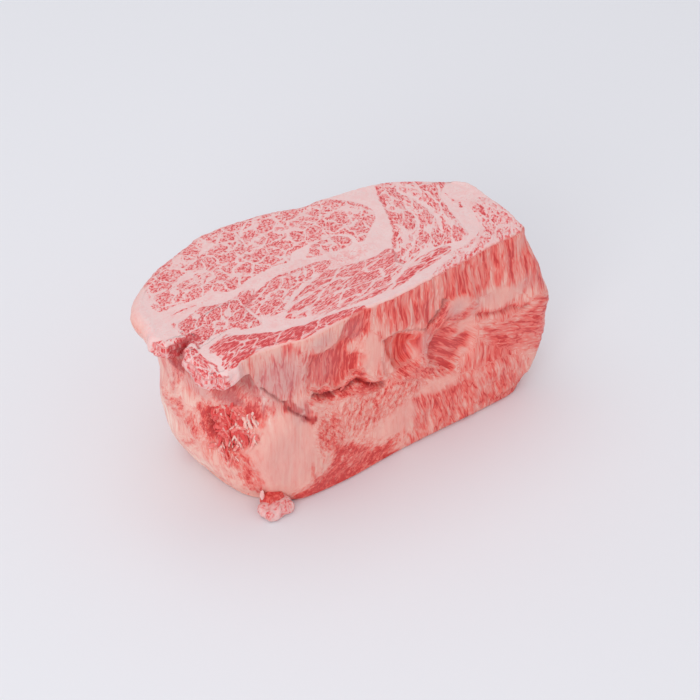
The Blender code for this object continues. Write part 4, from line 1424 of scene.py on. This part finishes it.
def buildLump(name, setting):
    # a sphere of unit directions stretched to the half sizes, its reach grown by how far a
    # direction is from an axis, which makes it squarish, and roughened by noise
    form = scrapForm
    turn = np.linspace(0.0, 2.0 * math.pi, form["turns"], endpoint=False)[None, :]
    rise = np.linspace(-0.5 * math.pi, 0.5 * math.pi, form["rises"] + 2)[1:-1, None]
    rings = np.stack([np.cos(rise) * np.cos(turn), np.cos(rise) * np.sin(turn),
                      np.sin(rise) + 0.0 * turn], axis=-1).reshape(-1, 3)
    way = np.vstack([rings, (0.0, 0.0, -1.0), (0.0, 0.0, 1.0)])
    reach = 1.0 + form["square"] * (1.0 - np.abs(way).max(axis=1, keepdims=True))
    places = np.array(setting["centre"]) + np.array(setting["half"]) * way * reach
    rough = roughNoise(places, form["roughSize"], setting["seed"])[:, None]
    places = places + way * form["rough"] * rough
    places[:, 2] = places[:, 2].clip(form["floorGap"])
    numbers = np.arange(len(rings)).reshape(form["rises"], form["turns"])
    ends = len(rings) + np.arange(2)
    lump = meshFromArrays(name, insideBox(places * millimetre), tubeFaces(numbers, ends))
    streaks = {"angle": setting["angle"], "stretch": setting["stretch"], "cell": form["cell"]}
    addVectors(lump, "grain", grainOf(places[:, 2], places[:, 0], places[:, 1], streaks))
    lean = softNoise(places, form["leanSize"], setting["seed"] + 1)
    lean = setting["lean"] + form["leanSwing"] * lean
    even = np.ones(len(places))
    addVectors(lump, "tissue", np.column_stack([lean, setting["marbling"] * even,
                                                setting["tone"] * even]))
    addVectors(lump, "warmShadeMottle", np.outer(even, (setting["warm"], 0.0, form["mottle"])))
    addVectors(lump, "tint", np.zeros((len(places), 3)))
    return lump


# floor, light and camera

studio = {
    "floorColour": (236, 236, 240), "floorSize": 6.0, "floorRoughness": 0.8,
    "skyColour": (245, 246, 250), "skyStrength": 0.74, "aim": (0.0, 0.0, 0.04),
    "overhead": {"place": (-0.15, 0.25, 1.3), "size": 1.3, "power": 3.4},
    "side": {"place": (-1.3, -0.95, 0.75), "size": 1.0, "power": 9.0},
}

cameraSetting = {
    "place": (-0.38388, -0.51483, 0.52260), "back": (-0.4901, -0.6282, 0.6043),
    "lens": 100.33, "sensor": 36.0,
}


def makeFloor():
    # a flat square at height 0
    half = studio["floorSize"] / 2.0
    corners = np.array([(-half, -half, 0), (half, -half, 0), (half, half, 0), (-half, half, 0)])
    floor = meshFromArrays("paleFloor", corners, [(0, 1, 2, 3)])
    constants = {"Base Color": linear(*studio["floorColour"]),
                 "Roughness": studio["floorRoughness"]}
    floor.data.materials.append(newMaterial("paleFloor", constants)[0])


def putInScene(name, data, place, back):
    # a light or a camera at a place, looking away from its back
    thing = bpy.data.objects.new(name, data)
    thing.location = place
    thing.rotation_euler = (-Vector(back)).to_track_quat("-Z", "Y").to_euler()
    bpy.context.scene.collection.objects.link(thing)
    return thing


def makeLight(name, setting):
    # a round lamp that shines at the aim
    data = bpy.data.lights.new(name, "AREA")
    data.shape = "DISK"
    data.size = setting["size"]
    data.energy = setting["power"]
    putInScene(name, data, setting["place"], np.subtract(setting["place"], studio["aim"]))


def makeStudio():
    makeFloor()
    world = bpy.data.worlds.new("studio")
    bpy.context.scene.world = world
    world.use_nodes = True
    sky = world.node_tree.nodes["Background"]
    sky.inputs["Color"].default_value = linear(*studio["skyColour"])
    sky.inputs["Strength"].default_value = studio["skyStrength"]
    makeLight("overheadLight", studio["overhead"])
    makeLight("sideLight", studio["side"])
    bpy.context.scene.view_settings.view_transform = "Standard"


def makeCamera():
    # where the photo was taken from
    data = bpy.data.cameras.new("camera")
    data.lens = cameraSetting["lens"]
    data.sensor_width = cameraSetting["sensor"]
    place, back = cameraSetting["place"], cameraSetting["back"]
    bpy.context.scene.camera = putInScene("camera", data, place, back)


# put together

makeStudio()
makeCamera()
print("studio ready")

beef = beefMaterial(marblingGroup())
block, wallPoints, wallNormals = buildBlock()
block.data.materials.append(beef)
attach(block, "root")
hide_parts("chuck_roll_block")
print("block built:", len(block.data.polygons), "faces")

freshMeat = shredMaterial()
for name, setting in strandPieces.items():
    strands = buildStrands(name, setting, wallPoints, wallNormals)
    strands.data.materials.append(freshMeat)
    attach(strands, "root")
    print(name, "built:", len(strands.data.polygons), "faces")

for name, setting in scrapLumps.items():
    lump = buildLump(name, setting)
    lump.data.materials.append(beef)
    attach(lump, "root")
print("scrap built")
